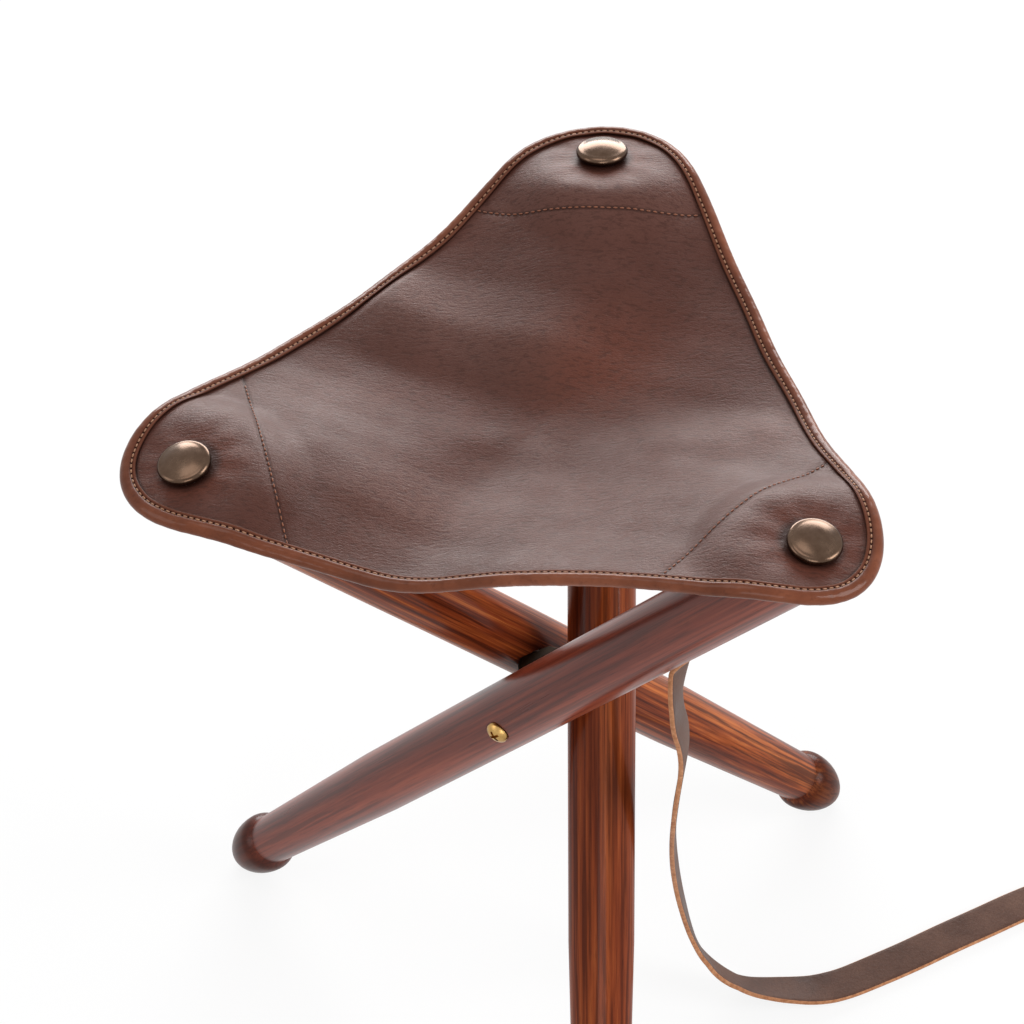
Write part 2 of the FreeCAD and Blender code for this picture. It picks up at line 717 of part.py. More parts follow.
half_wide = num("strap_wide") / 2
half_thick = num("strap_thick") / 2
sections = []
strap_long = 0
stations = rounded_route(STRAP_ROUTE)
for index, (point, way, share) in enumerate(stations):
    first = min(int(share), len(STRAP_ROUTE) - 2)
    part = share - first
    across_here = STRAP_ROUTE[first][1] * (1 - part) + STRAP_ROUTE[first + 1][1] * part
    if index:
        strap_long += (point - stations[index - 1][0]).Length
    if index < len(stations) - 1:
        sections.append(strip_section(point, way, across_here, half_wide, half_thick))
# rounded tip
tip_point, tip_way, _ = stations[-1]
for angle in (90, 70, 50, 30, 12):
    back = half_wide * (1 - math.cos(math.radians(angle)))
    wide = half_wide * math.sin(math.radians(angle))
    sections.append(strip_section(tip_point - tip_way * back, tip_way, STRAP_ROUTE[-1][1], wide, half_thick))
strap = Part.makeLoft(sections, True, True)
print("strap length %.1f mm, volume %.0f mm3, section times length %.0f mm3"
      % (strap_long, strap.Volume, strap_long * num("strap_wide") * num("strap_thick")))
strap_axis = right_leg.Rotation.multVec(strap_normal)
strap_foot = right_leg.multVec(strap_normal * strap_leg_radius + Vector(0, 0, num("strap_screw_reach")))
strap_hole = Part.makeCylinder(num("strap_screw_dia") / 2 + num("thread_clear"), 12, strap_foot, strap_axis)
finish("carry_strap", strap.cut(strap_hole).Solids[0])

strap_washer = new_body("strap_washer")
strap_washer_inner = dim("strap_screw_dia") / 2 + dim("thread_clear")
revolve(strap_washer, "strap_ring", [
    (strap_washer_inner, as_length(0)),
    (dim("strap_washer_dia") / 2, as_length(0)),
    (dim("strap_washer_dia") / 2, dim("strap_washer_thick")),
    (strap_washer_inner, dim("strap_washer_thick")),
])
strap_turn = Rotation(Vector(0, 0, 1), strap_axis)
strap_top = strap_level - strap_leg_radius + num("strap_thick") + num("leather_gap") / 3
strap_washer.Placement = Placement(strap_foot + strap_axis * strap_top, strap_turn)
sub_parts.append(strap_washer)
strap_screw = make_screw("strap_screw", dim("strap_screw_dia"), dim("strap_head_dia"),
                         dim("strap_head_tall") / 3, dim("strap_head_tall"), dim("strap_screw_long"), 0.75)
strap_seat = strap_foot + strap_axis * (strap_top + num("strap_washer_thick"))
strap_screw.Placement = Placement(strap_seat, strap_turn)

# Checks and files
doc.recompute()
for item in doc.Objects:
    if "Invalid" in item.State or "Error" in item.State:
        raise RuntimeError("%s is in state %s" % (item.Label, item.State))
for piece in sub_parts:
    if piece.Shape.isNull() or not piece.Shape.isValid() or len(piece.Shape.Solids) != 1:
        raise RuntimeError("%s has no good solid" % piece.Label)
os.makedirs("parts", exist_ok=True)
for piece in sub_parts:
    piece.Shape.exportStep("parts/%s.step" % piece.Label)
    box = piece.Shape.BoundBox
    print("%-20s volume %9.1f  box %7.1f %7.1f %7.1f to %7.1f %7.1f %7.1f"
          % (piece.Label, piece.Shape.Volume, box.XMin, box.YMin, box.ZMin, box.XMax, box.YMax, box.ZMax))
print("hub height %.2f, stud level %.2f, stud radius %.2f, corner angle %.2f"
      % (hub_height, stud_level, stud_radius, math.degrees(corner_angle)))
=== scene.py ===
import bpy
import math
import numpy as np
from mathutils import Matrix, Vector


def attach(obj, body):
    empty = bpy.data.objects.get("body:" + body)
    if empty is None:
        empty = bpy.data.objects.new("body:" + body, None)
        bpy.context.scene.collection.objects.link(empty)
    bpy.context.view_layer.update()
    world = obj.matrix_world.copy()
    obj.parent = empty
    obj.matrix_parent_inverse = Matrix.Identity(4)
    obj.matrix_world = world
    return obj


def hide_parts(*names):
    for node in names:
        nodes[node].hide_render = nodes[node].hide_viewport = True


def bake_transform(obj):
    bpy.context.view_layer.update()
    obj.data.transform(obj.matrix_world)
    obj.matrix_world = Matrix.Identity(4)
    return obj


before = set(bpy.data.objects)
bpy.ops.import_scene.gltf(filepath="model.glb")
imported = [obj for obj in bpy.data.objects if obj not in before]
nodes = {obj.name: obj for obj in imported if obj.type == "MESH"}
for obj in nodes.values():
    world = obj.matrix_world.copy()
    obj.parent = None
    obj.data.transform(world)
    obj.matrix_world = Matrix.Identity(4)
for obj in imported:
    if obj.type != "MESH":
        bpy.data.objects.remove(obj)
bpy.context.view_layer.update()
mm = 0.001

# the three legs, their turn about the hub, and the sizes that all pieces share
sides = (("rear", 0), ("left", 120), ("right", 240))
stool = {"hubHeight": 211.964, "legOffset": 26.0, "legTilt": 40.0, "studRadius": 152.64, "studOut": 150.41,
         "studLevel": 397.42, "legEnd": 234.0, "studDip": 11.0, "cornerTurn": 80.19}


def deselect():
    if bpy.context.mode != "OBJECT":
        bpy.ops.object.mode_set(mode="OBJECT")
    bpy.ops.object.select_all(action="DESELECT")


def pick(piece):
    deselect()
    piece.select_set(True)
    bpy.context.view_layer.objects.active = piece


def startEdit(piece):
    pick(piece)
    bpy.ops.object.mode_set(mode="EDIT")
    bpy.ops.mesh.select_all(action="SELECT")


def endEdit():
    bpy.ops.object.mode_set(mode="OBJECT")


def turnBy(degrees, axis):
    return Matrix.Rotation(math.radians(degrees), 4, axis)


def upBy(distance):
    return Matrix.Translation((0, 0, distance * mm))


def aimed(way, axis="Z"):
    # the turn that points an axis along a way
    return way.to_track_quat(axis, "Y").to_matrix().to_4x4()


def settle(piece, matrix):
    # puts a finished piece in its place, with the place in its mesh
    pick(piece)
    piece.matrix_world = matrix
    bpy.ops.object.transform_apply(location=True, rotation=True, scale=True)


def dress(piece, material):
    piece.data.materials.clear()
    piece.data.materials.append(material)


def smooth(piece, degrees):
    pick(piece)
    bpy.ops.object.shade_smooth_by_angle(angle=math.radians(degrees))


def arcStops(start, stop, radius, count):
    # points of a bulging arc of a profile, the start left out
    a = np.array(start, float)
    b = np.array(stop, float)
    way = (b - a) / np.linalg.norm(b - a)
    half = np.linalg.norm(b - a) / 2
    out = np.array([way[1], -way[0]])
    centre = (a + b) / 2 - out * math.sqrt(max(radius ** 2 - half ** 2, 0))
    first = math.atan2(*(a - centre)[::-1])
    last = math.atan2(*(b - centre)[::-1])
    turn = (last - first + math.pi) % (2 * math.pi) - math.pi
    bearings = [first + turn * k / count for k in range(1, count + 1)]
    return [tuple(centre + radius * np.array([math.cos(bearing), math.sin(bearing)])) for bearing in bearings]


def lineStops(start, stop, count):
    return [(start[0] + (stop[0] - start[0]) * k / count, start[1] + (stop[1] - start[1]) * k / count)
            for k in range(1, count + 1)]


def turnProfile(name, profile, steps):
    # a vertex is drawn out along the profile and spun round the axis; sizes in millimetres
    deselect()
    bpy.ops.mesh.primitive_plane_add(size=0.002)
    piece = bpy.context.object
    piece.name = name
    piece.data.name = name
    startEdit(piece)
    bpy.ops.mesh.merge(type="CENTER")
    bpy.ops.transform.translate(value=(profile[0][0] * mm, 0, profile[0][1] * mm))
    for (r0, z0), (r1, z1) in zip(profile, profile[1:]):
        bpy.ops.mesh.extrude_vertices_move(
            TRANSFORM_OT_translate={"value": ((r1 - r0) * mm, 0, (z1 - z0) * mm)})
    bpy.ops.mesh.select_all(action="SELECT")
    bpy.ops.mesh.spin(steps=steps, angle=2 * math.pi, center=(0, 0, 0), axis=(0, 0, 1))
    bpy.ops.mesh.select_all(action="SELECT")
    bpy.ops.mesh.remove_doubles(threshold=0.000004)
    bpy.ops.mesh.normals_make_consistent(inside=False)
    endEdit()
    return piece


def bore(piece, matrix, radius, depth):
    # sinks a round hole; the cutter's axis is the matrix's Z, from 0 up to depth
    deselect()
    bpy.ops.mesh.primitive_cylinder_add(vertices=64, radius=radius * mm, depth=depth * mm)
    cutter = bpy.context.object
    cutter.matrix_world = matrix @ upBy(depth / 2)
    carve(piece, cutter)


def carve(piece, cutter):
    pick(piece)
    cut = piece.modifiers.new("cut", "BOOLEAN")
    cut.operation = "DIFFERENCE"
    cut.solver = "EXACT"
    cut.object = cutter
    bpy.ops.object.modifier_apply(modifier=cut.name)
    bpy.data.objects.remove(cutter)


def addObject(name, data):
    thing = bpy.data.objects.new(name, data)
    bpy.context.scene.collection.objects.link(thing)
    return thing


def addMesh(name, points, faces):
    mesh = bpy.data.meshes.new(name)
    mesh.from_pydata([tuple(p) for p in points], [], faces)
    mesh.update()
    return addObject(name, mesh)


def thickSheet(name, points, rows, columns, weld, thick):
    # a grid of points as a sheet that faces up, thickened downwards; the top's vertices come first
    deselect()
    faces = []
    for r in range(rows - 1):
        for c in range(columns - 1):
            k = r * columns + c
            faces.append((k, k + 1, k + columns + 1, k + columns))
    piece = addMesh(name, points, faces)
    startEdit(piece)
    bpy.ops.mesh.remove_doubles(threshold=weld)
    bpy.ops.mesh.normals_make_consistent(inside=False)
    endEdit()
    if sum(p.normal.z for p in piece.data.polygons) < 0:
        startEdit(piece)
        bpy.ops.mesh.flip_normals()
        endEdit()
    wall = piece.modifiers.new("wall", "SOLIDIFY")
    wall.thickness = thick * mm
    wall.offset = -1
    pick(piece)
    bpy.ops.object.modifier_apply(modifier=wall.name)
    return piece


def tubeMesh(name, rings):
    # rings of points joined into a skin, with the two ends filled
    count = len(rings[0])
    faces = []
    for r in range(len(rings) - 1):
        for c in range(count):
            n = (c + 1) % count
            faces.append((r * count + c, r * count + n, (r + 1) * count + n, (r + 1) * count + c))
    faces.append(tuple(range(count - 1, -1, -1)))
    faces.append(tuple((len(rings) - 1) * count + c for c in range(count)))
    piece = addMesh(name, [point for ring in rings for point in ring], faces)
    startEdit(piece)
    bpy.ops.mesh.normals_make_consistent(inside=False)
    endEdit()
    return piece


def ripple(waves, along):
    # a sum of sines: height, turns per unit of the way, start
    return sum(tall * math.sin(along * often + start) for tall, often, start in waves)


def mark(piece, name, values):
    # keeps a number for each vertex, for the material to read
    layer = piece.data.attributes.new(name, "FLOAT", "POINT")
    layer.data.foreach_set("value", np.asarray(values, np.float32))


# material helpers
def newMaterial(name):
    material = bpy.data.materials.new(name)
    material.use_nodes = True
    tree = material.node_tree
    return material, tree, tree.nodes["Principled BSDF"]


def feed(tree, node, inputs):
    # a socket is linked, and a plain value is set on the node's own socket
    for key, value in inputs.items():
        if isinstance(value, bpy.types.NodeSocket):
            tree.links.new(value, node.inputs[key])
        else:
            node.inputs[key].default_value = value


def put(tree, kind, inputs=None, **settings):
    node = tree.nodes.new(kind)
    for key, value in settings.items():
        setattr(node, key, value)
    feed(tree, node, inputs or {})
    return node


def join(tree, bsdf, **inputs):
    feed(tree, bsdf, {key.replace("_", " "): value for key, value in inputs.items()})


def ramp(tree, fac, stops):
    node = put(tree, "ShaderNodeValToRGB", {"Fac": fac})
    band = node.color_ramp
    while len(band.elements) < len(stops):
        band.elements.new(1.0)
    for element, (place, colour) in zip(band.elements, stops):
        element.position = place
        element.color = (*colour, 1)
    return node.outputs["Color"]


def tint(tree, fac, first, second):
    # mixes two colours, each a socket or three numbers
    one, two = [(*colour, 1) if isinstance(colour, tuple) else colour for colour in (first, second)]
    return put(tree, "ShaderNodeMixRGB", {"Fac": fac, "Color1": one, "Color2": two}).outputs["Color"]


def ask(tree, how, first, second=0.0):
    return put(tree, "ShaderNodeMath", {0: first, 1: second}, operation=how).outputs[0]


def span(tree, value, low, high, toLow, toHigh):
    node = put(tree, "ShaderNodeMapRange", {"Value": value, "From Min": low, "From Max": high,
                                            "To Min": toLow, "To Max": toHigh}, clamp=True)
    return node.outputs["Result"]


def noise(tree, vector, scale, detail=4.0, rough=0.55, twist=0.0):
    node = put(tree, "ShaderNodeTexNoise", {"Vector": vector, "Scale": scale, "Detail": detail,
                                            "Roughness": rough, "Distortion": twist})
    return node.outputs["Fac"]


def stretch(tree, vector, factors, move=(0, 0, 0)):
    node = put(tree, "ShaderNodeMapping", {"Vector": vector, "Scale": factors, "Location": move})
    return node.outputs["Vector"]


def bumpUp(tree, height, strength, distance):
    node = put(tree, "ShaderNodeBump", {"Height": height, "Strength": strength, "Distance": distance})
    return node.outputs["Normal"]


def ownPlace(tree):
    return put(tree, "ShaderNodeTexCoord").outputs["Object"]


def attribute(tree, name):
    return put(tree, "ShaderNodeAttribute", attribute_name=name).outputs["Fac"]


# camera at the photograph's viewing angle
cameraSet = {"eye": (0.076534, -1.161092, 1.471175), "pan": 4.353, "pitch": 45.288, "roll": -2.857,
             "lens": 129.781, "sensor": 36}
lensData = bpy.data.cameras.new("camera")
lensData.lens = cameraSet["lens"]
lensData.sensor_width = cameraSet["sensor"]
camera = addObject("camera", lensData)
camera.matrix_world = (Matrix.Translation(cameraSet["eye"]) @ turnBy(cameraSet["pan"], "Z")
                       @ turnBy(cameraSet["pitch"], "X") @ turnBy(cameraSet["roll"], "Z"))
bpy.context.scene.camera = camera
bpy.context.scene.view_settings.view_transform = "Standard"

# floor, background and soft studio light
studio = {"floorSize": 12.0, "floorLevel": -0.0003, "floorGlow": 0.86, "worldFill": 0.38,
          # name, place, aim, width, height, watts
          "lamps": (("behind", (0.1, 2.3, 0.95), (0, 0, 0.36), 2.4, 1.1, 76.0),
                    ("overhead", (-0.3, -0.2, 2.3), (0, 0, 0.3), 1.2, 1.2, 10.0),
                    ("rightSide", (1.8, -0.4, 1.1), (0, 0, 0.25), 1.0, 1.0, 25.0),
                    ("leftSide", (-1.8, -0.6, 1.1), (0, 0, 0.25), 1.0, 1.0, 6.0),
                    ("front", (0.2, -2.3, 0.9), (0, 0, 0.25), 1.2, 1.0, 12.0))}


def seenDirectly(tree):
    path = put(tree, "ShaderNodeLightPath")
    first = ask(tree, "MAXIMUM", path.outputs["Is Camera Ray"], path.outputs["Is Glossy Ray"])
    return ask(tree, "MAXIMUM", first, path.outputs["Is Transmission Ray"])


deselect()
bpy.ops.mesh.primitive_plane_add(size=studio["floorSize"], location=(0, 0, studio["floorLevel"]))
floor = bpy.context.object
floor.name = "floor"
floorPaint, tree, bsdf = newMaterial("pale_floor")
join(tree, bsdf, Base_Color=(0.85, 0.85, 0.85, 1), Roughness=0.9, Specular_IOR_Level=0.0)
glow = put(tree, "ShaderNodeEmission", {"Color": (1, 1, 1, 1), "Strength": 1.0})
share = ask(tree, "MULTIPLY", seenDirectly(tree), studio["floorGlow"])
mixed = put(tree, "ShaderNodeMixShader", {0: share, 1: bsdf.outputs[0], 2: glow.outputs[0]})
tree.links.new(mixed.outputs[0], tree.nodes["Material Output"].inputs["Surface"])
floor.data.materials.append(floorPaint)

world = bpy.data.worlds.new("studio_white")
world.use_nodes = True
bpy.context.scene.world = world
tree = world.node_tree
backdrop = tree.nodes["Background"]
backdrop.inputs["Color"].default_value = (1, 1, 1, 1)
tree.links.new(span(tree, seenDirectly(tree), 0, 1, studio["worldFill"], 1.0), backdrop.inputs["Strength"])

for name, place, aim, wide, tall, power in studio["lamps"]:
    lampData = bpy.data.lights.new(name, "AREA")
    lampData.shape = "RECTANGLE"
    lampData.size = wide
    lampData.size_y = tall
    lampData.energy = power
    lamp = addObject(name, lampData)
    lamp.matrix_world = Matrix.Translation(place) @ aimed(Vector(aim) - Vector(place), "-Z")
print("camera, floor and light are set")

# strap: a flat strip of leather that hangs from the right leg and lies along the floor
strap = {"wide": 19.0, "thick": 2.5, "edge": 0.7, "length": 0.585, "steps": 24,
         "waves": ((0.125, 61, 0), (0.08, 143, 1)),
         "route": ((79.7, -58.8, 314.74), (65.2, -50.4, 294.82), (59.9, -60.3, 258.4), (65.8, -54.1, 223.9),
                   (61.4, -44.9, 180.2), (58.5, -32.3, 136.2), (59.7, -19, 91.6), (64.8, -11.4, 47.7),
                   (72.4, -14.5, 21), (89.7, -21, 8.4), (111.9, -21.7, 5), (135, -19.2, 2.4),
                   (164.6, -3.5, 1.45), (201.3, 18, 1.45), (240.2, 41, 1.45), (280.8, 58.6, 1.45),
                   (325, 71, 1.45)),
         # the way across its face at stops along the line
         "twist": ((0, (-0.298, 0.784, 0.545)), (0.45, (-0.2, 0.85, 0.48)), (0.95, (0.45, 0.9, 0.02)),
                   (1.5, (0.2, 0.95, 0)), (2.5, (0.14, 0.97, 0)), (3.5, (0.13, 0.99, 0.1)),
                   (4.5, (0.05, 0.98, 0.17)), (5.5, (-0.02, 0.98, 0.17)), (6.5, (-0.13, 0.95, 0)),
                   (7.5, (-0.32, 0.91, -0.26)), (8.5, (-0.07, 0.8, -0.5)), (9.5, (-0.1, 0.95, -0.25)),
                   (10.5, (-0.1, 0.98, -0.05)), (11.5, (-0.45, 0.89, 0)), (15, (-0.45, 0.89, 0)))}


def strapLine():
    curveData = bpy.data.curves.new("strap_line", "CURVE")
    curveData.dimensions = "3D"
    curveData.resolution_u = strap["steps"]
    spline = curveData.splines.new("NURBS")
    spline.points.add(len(strap["route"]) - 1)
    for point, stop in zip(spline.points, strap["route"]):
        point.co = (stop[0] * mm, stop[1] * mm, stop[2] * mm, 1)
    spline.order_u = 3
    spline.use_endpoint_u = True
    line = addObject("strap_line", curveData)
    bpy.context.view_layer.update()
    mesh = bpy.data.meshes.new_from_object(line)
    points = np.array([v.co for v in mesh.vertices])
    bpy.data.objects.remove(line)
    bpy.data.meshes.remove(mesh)
    return points


strapPath = strapLine()
if np.linalg.norm(strapPath[0] - np.array(strap["route"][0]) * mm) > 0.01:
    strapPath = strapPath[::-1]
stops = [stop for stop, turn in strap["twist"]]
share = np.linspace(0, stops[-1], len(strapPath))
across = np.stack([np.interp(share, stops, [turn[k] for stop, turn in strap["twist"]]) for k in range(3)], 1)
way = np.gradient(strapPath, axis=0)
way /= np.linalg.norm(way, axis=1)[:, None]
across -= way * np.sum(across * way, 1)[:, None]
across /= np.linalg.norm(across, axis=1)[:, None]
face = np.cross(way, across)
runLength = np.concatenate([[0], np.cumsum(np.linalg.norm(np.diff(strapPath, axis=0), axis=1))])
halfWide = strap["wide"] / 2
halfThick = strap["thick"] / 2
edge = strap["edge"]
# half of the section, edge bevelled, then mirrored round
section = [(halfWide, 0.0), (halfWide - 0.06, halfThick - edge),
           (halfWide - edge * 0.35, halfThick - edge * 0.35), (halfWide - edge, halfThick - 0.05),
           (halfWide - 2.2, halfThick), (0.5 * halfWide, halfThick + 0.04)]
section = section + [(0.0, halfThick + 0.05)] + [(-a, b) for a, b in section[::-1]]
section = section + [(a, -b) for a, b in section[-2:0:-1]]
rings = []
rawEdge = []
tip = runLength[-1] - runLength
for k in range(len(strapPath)):
    left = tip[k] / mm
    short = max(halfWide - left, 0)
    narrow = max(math.sqrt(max(halfWide ** 2 - short ** 2, 0)) / halfWide, 0.12)  # the end is rounded
    thin = 1.0 if left > 1.0 else 0.72
    wave = ripple(strap["waves"], runLength[k])
    ring = [strapPath[k] + across[k] * (a * narrow * mm) + face[k] * (b * thin * mm)
            + across[k] * wave * mm for a, b in section]
    rings.append(ring)
    for a, b in section:
        atEdge = 1.0 if abs(a) > halfWide - edge * 0.8 else 0.0
        if left < 1.2:
            atEdge = 1.0 if abs(b) < halfThick - 0.02 or left < 0.2 else 0.4
        rawEdge.append(atEdge)
strapPiece = tubeMesh("strap_leather_strip", rings)
mark(strapPiece, "rawEdge", rawEdge)
smooth(strapPiece, 40)
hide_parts("carry_strap")
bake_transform(strapPiece)
print("strap follows", len(strapPath), "points,", round(float(runLength[-1]), 4), "m")


# finishes
def strapLeather():
    material, tree, bsdf = newMaterial("strap_leather")
    place = ownPlace(tree)
    cloud = noise(tree, place, 38, 5, 0.6)
    grain = noise(tree, place, 900, 3, 0.6)
    faceColour = ramp(tree, cloud, [(0.28, (0.065, 0.031, 0.0215)), (0.52, (0.100, 0.050, 0.035)),
                                    (0.78, (0.145, 0.079, 0.056))])
    faceColour = tint(tree, span(tree, grain, 0.35, 0.7, 0.0, 0.30), faceColour, (0.030, 0.013, 0.009))
    fibre = noise(tree, place, 420, 4, 0.7)
    tan = ramp(tree, fibre, [(0.25, (0.28, 0.105, 0.045)), (0.55, (0.47, 0.215, 0.105)),
                             (0.8, (0.62, 0.34, 0.20))])
    uneven = ask(tree, "MULTIPLY", ask(tree, "SUBTRACT", cloud, 0.5), 0.5)
    raw = ask(tree, "ADD", attribute(tree, "rawEdge"), uneven)
    colour = tint(tree, span(tree, raw, 0.35, 0.62, 0, 1), faceColour, tan)
    rough = span(tree, cloud, 0.3, 0.75, 0.40, 0.62)
    height = ask(tree, "ADD", ask(tree, "MULTIPLY", grain, 0.6), fibre)
    join(tree, bsdf, Base_Color=colour, Roughness=rough, Normal=bumpUp(tree, height, 0.35, 0.0004),
         Specular_IOR_Level=0.12)
    return material


def turnedWood(side, angle):
    shade = woodShades[side]
    material, tree, bsdf = newMaterial("turned_wood_" + side)
    place = ownPlace(tree)
    base = legMatrix(angle)
    inLeg = {"Vector": place, "Location": base.to_translation(), "Rotation": base.to_euler("XYZ")}
    local = put(tree, "ShaderNodeMapping", inLeg, vector_type="TEXTURE").outputs["Vector"]
    long = stretch(tree, local, (58, 58, 2.6), shade["shift"])
    fine = stretch(tree, local, (480, 480, 8), shade["shift"])
    pore = stretch(tree, local, (1500, 1500, 60), shade["shift"])
    broad = noise(tree, long, 1.0, 5, 0.62, 0.35)
    streak = noise(tree, fine, 1.0, 4, 0.6, 0.2)
    pores = noise(tree, pore, 1.0, 2, 0.5)
    colour = ramp(tree, broad, shade["bands"])
    dark = span(tree, streak, 0.47, 0.60, 0.0, shade["streak"])
    colour = tint(tree, dark, colour, shade["dark"])
    glowLine = span(tree, streak, 0.30, 0.45, shade["glow"], 0.0)
    colour = tint(tree, glowLine, colour, shade["light"])
    colour = tint(tree, span(tree, pores, 0.58, 0.75, 0.0, 0.45), colour, (0.012, 0.003, 0.002))
    # the acorn foot is darker and duller than the shaft
    along = put(tree, "ShaderNodeSeparateXYZ", {"Vector": local}).outputs["Z"]
    colour = tint(tree, span(tree, along, *leg["neckLine"], 0.75, 0.0), colour, (0.038, 0.0086, 0.0042))
    height = ask(tree, "ADD", ask(tree, "MULTIPLY", streak, 0.6), pores)
    join(tree, bsdf, Base_Color=colour, Roughness=span(tree, broad, 0.3, 0.7, 0.26, 0.38),
         Normal=bumpUp(tree, height, 0.10, 0.0004), Specular_IOR_Level=shade["gloss"] * 0.3,
         Coat_Weight=span(tree, along, *leg["neckLine"], shade["gloss"] * 0.2, shade["gloss"]),
         Coat_Roughness=shade["satin"])
    return material


def seatLeather(name, underside):
    material, tree, bsdf = newMaterial(name)
    place = ownPlace(tree)
    patch = noise(tree, place, 60, 4, 0.6)
    if underside:
        fibre = noise(tree, place, 700, 4, 0.7)
        colour = ramp(tree, patch, [(0.25, (0.085, 0.040, 0.026)), (0.55, (0.135, 0.068, 0.046)),
                                    (0.8, (0.19, 0.105, 0.075))])
        colour = tint(tree, span(tree, fibre, 0.4, 0.7, 0, 0.5), colour, (0.06, 0.028, 0.018))
        join(tree, bsdf, Base_Color=colour, Roughness=span(tree, fibre, 0.3, 0.7, 0.72, 0.9),
             Normal=bumpUp(tree, fibre, 0.5, 0.0006))
        return material
    crease = noise(tree, stretch(tree, place, (250, 820, 420)), 1.0, 3, 0.6, 0.5)
    cells = {"Vector": stretch(tree, place, (620, 1250, 700)), "Scale": 1.0, "Randomness": 1.0}
    pebble = put(tree, "ShaderNodeTexVoronoi", cells, feature="DISTANCE_TO_EDGE").outputs["Distance"]
    seamOff = ask(tree, "ABSOLUTE", attribute(tree, "seamGap"))
    studOff = attribute(tree, "studAway")
    rimOff = attribute(tree, "rimGap")
    cloud = noise(tree, place, 13, 4, 0.55, 0.3)
    colour = ramp(tree, cloud, [(0.28, (0.043, 0.0130, 0.0088)), (0.50, (0.062, 0.0205, 0.0142)),
                                (0.75, (0.084, 0.031, 0.023))])
    colour = tint(tree, span(tree, patch, 0.50, 0.80, 0.0, 0.20), colour, (0.135, 0.062, 0.048))
    colour = tint(tree, attribute(tree, "warm"), colour, (0.104, 0.0240, 0.0110))
    studRing = ask(tree, "ABSOLUTE", ask(tree, "SUBTRACT", studOff, 14.0))
    colour = tint(tree, span(tree, studRing, 0.0, 14.0, 0.6, 0.0), colour, (0.100, 0.0250, 0.0130))
    # raised folds made paler: part rubbed wear, part painted sheen
    colour = tint(tree, attribute(tree, "wearAndSheen"), colour, (0.170, 0.088, 0.073))
    colour = tint(tree, span(tree, crease, 0.50, 0.64, 0.0, 0.55), colour, (0.028, 0.009, 0.006))
    colour = tint(tree, span(tree, pebble, 0.0, 0.12, 0.26, 0.0), colour, (0.030, 0.010, 0.007))
    # painted shade: dark along the seam grooves, round the foot of each stud and in the gap beside the
    # binding
    line = span(tree, seamOff, 0.25, 1.3, 0.85, 0.0)
    line = ask(tree, "MAXIMUM", line, span(tree, studOff, 12.0, 15.5, 0.8, 0.0))
    line = ask(tree, "MAXIMUM", line, span(tree, rimOff, 7.5, 8.7, 0.95, 0.0))
    colour = tint(tree, line, colour, (0.014, 0.0045, 0.003))
    pebbles = ask(tree, "MULTIPLY", ask(tree, "MINIMUM", pebble, 0.25), 0.8)
    height = ask(tree, "ADD", ask(tree, "MULTIPLY", crease, -1.2), pebbles)
    height = ask(tree, "ADD", height, ask(tree, "MULTIPLY", patch, 0.6))
    height = ask(tree, "SUBTRACT", height, span(tree, seamOff, 0.2, 1.6, 1.2, 0.0))
    join(tree, bsdf, Base_Color=colour, Roughness=span(tree, patch, 0.25, 0.75, 0.42, 0.54),
         Normal=bumpUp(tree, height, 0.42, 0.0005), Specular_IOR_Level=0.235,
         Specular_Tint=(1.0, 0.70, 0.62, 1))
    return material


def bindingLeather():
    material, tree, bsdf = newMaterial("binding_leather")
    place = ownPlace(tree)
    cloud = noise(tree, place, 34, 5, 0.6)
    wrinkle = noise(tree, place, 420, 4, 0.65, 0.4)
    roll = ramp(tree, cloud, [(0.26, (0.092, 0.025, 0.0115)), (0.5, (0.155, 0.045, 0.0205)),
                              (0.76, (0.245, 0.080, 0.040))])
    run = attribute(tree, "stitchRun")
    inset = attribute(tree, "inset")
    # lighter where it rolls over the edge, dark like the seat on top
    colour = tint(tree, span(tree, inset, 2.4, 4.6, 0.0, 0.75), roll, (0.095, 0.032, 0.020))
    colour = tint(tree, span(tree, wrinkle, 0.54, 0.75, 0.0, 0.45), colour, (0.060, 0.017, 0.009))
    # the stitch channel is darkened, and the needle holes at each end of a stitch are painted as dark spots
    # of shade
    fromHole = ask(tree, "PINGPONG", run, 0.5)
    nearHole = span(tree, fromHole, 0.05, 0.17, 1.0, 0.0)
    fromChannel = ask(tree, "ABSOLUTE", ask(tree, "SUBTRACT", inset, binding["stitchInset"]))
    inChannel = span(tree, fromChannel, 0.35, 0.85, 1.0, 0.0)
    colour = tint(tree, ask(tree, "MULTIPLY", inChannel, 0.45), colour, (0.060, 0.017, 0.009))
    colour = tint(tree, ask(tree, "MULTIPLY", nearHole, inChannel), colour, (0.010, 0.003, 0.002))
    colour = tint(tree, span(tree, inset, 5.9, 6.5, 0.0, 0.6), colour, (0.125, 0.045, 0.027))
    # painted shade on the binding's inner edge, where it meets the seat
    colour = tint(tree, span(tree, inset, 6.9, 7.2, 0.0, 0.9), colour, (0.020, 0.006, 0.004))
    # only the roll shines
    shine = span(tree, inset, 3.0, 5.4, 0.24, 0.0)
    height = ask(tree, "ADD", ask(tree, "MULTIPLY", wrinkle, 0.8), cloud)
    join(tree, bsdf, Base_Color=colour, Roughness=span(tree, cloud, 0.3, 0.7, 0.28, 0.40),
         Normal=bumpUp(tree, height, 0.28, 0.0005), Coat_Weight=shine, Coat_Roughness=0.12,
         Specular_IOR_Level=0.05, Specular_Tint=(1.0, 0.75, 0.65, 1))
    return material


def wovenThread(name, dark, light):
    material, tree, bsdf = newMaterial(name)
    place = ownPlace(tree)
    ply = noise(tree, place, 1900, 3, 0.6)
    join(tree, bsdf, Base_Color=ramp(tree, ply, [(0.3, dark), (0.7, light)]),
         Roughness=span(tree, ply, 0.3, 0.7, 0.5, 0.75), Normal=bumpUp(tree, ply, 0.5, 0.0003))
    return material


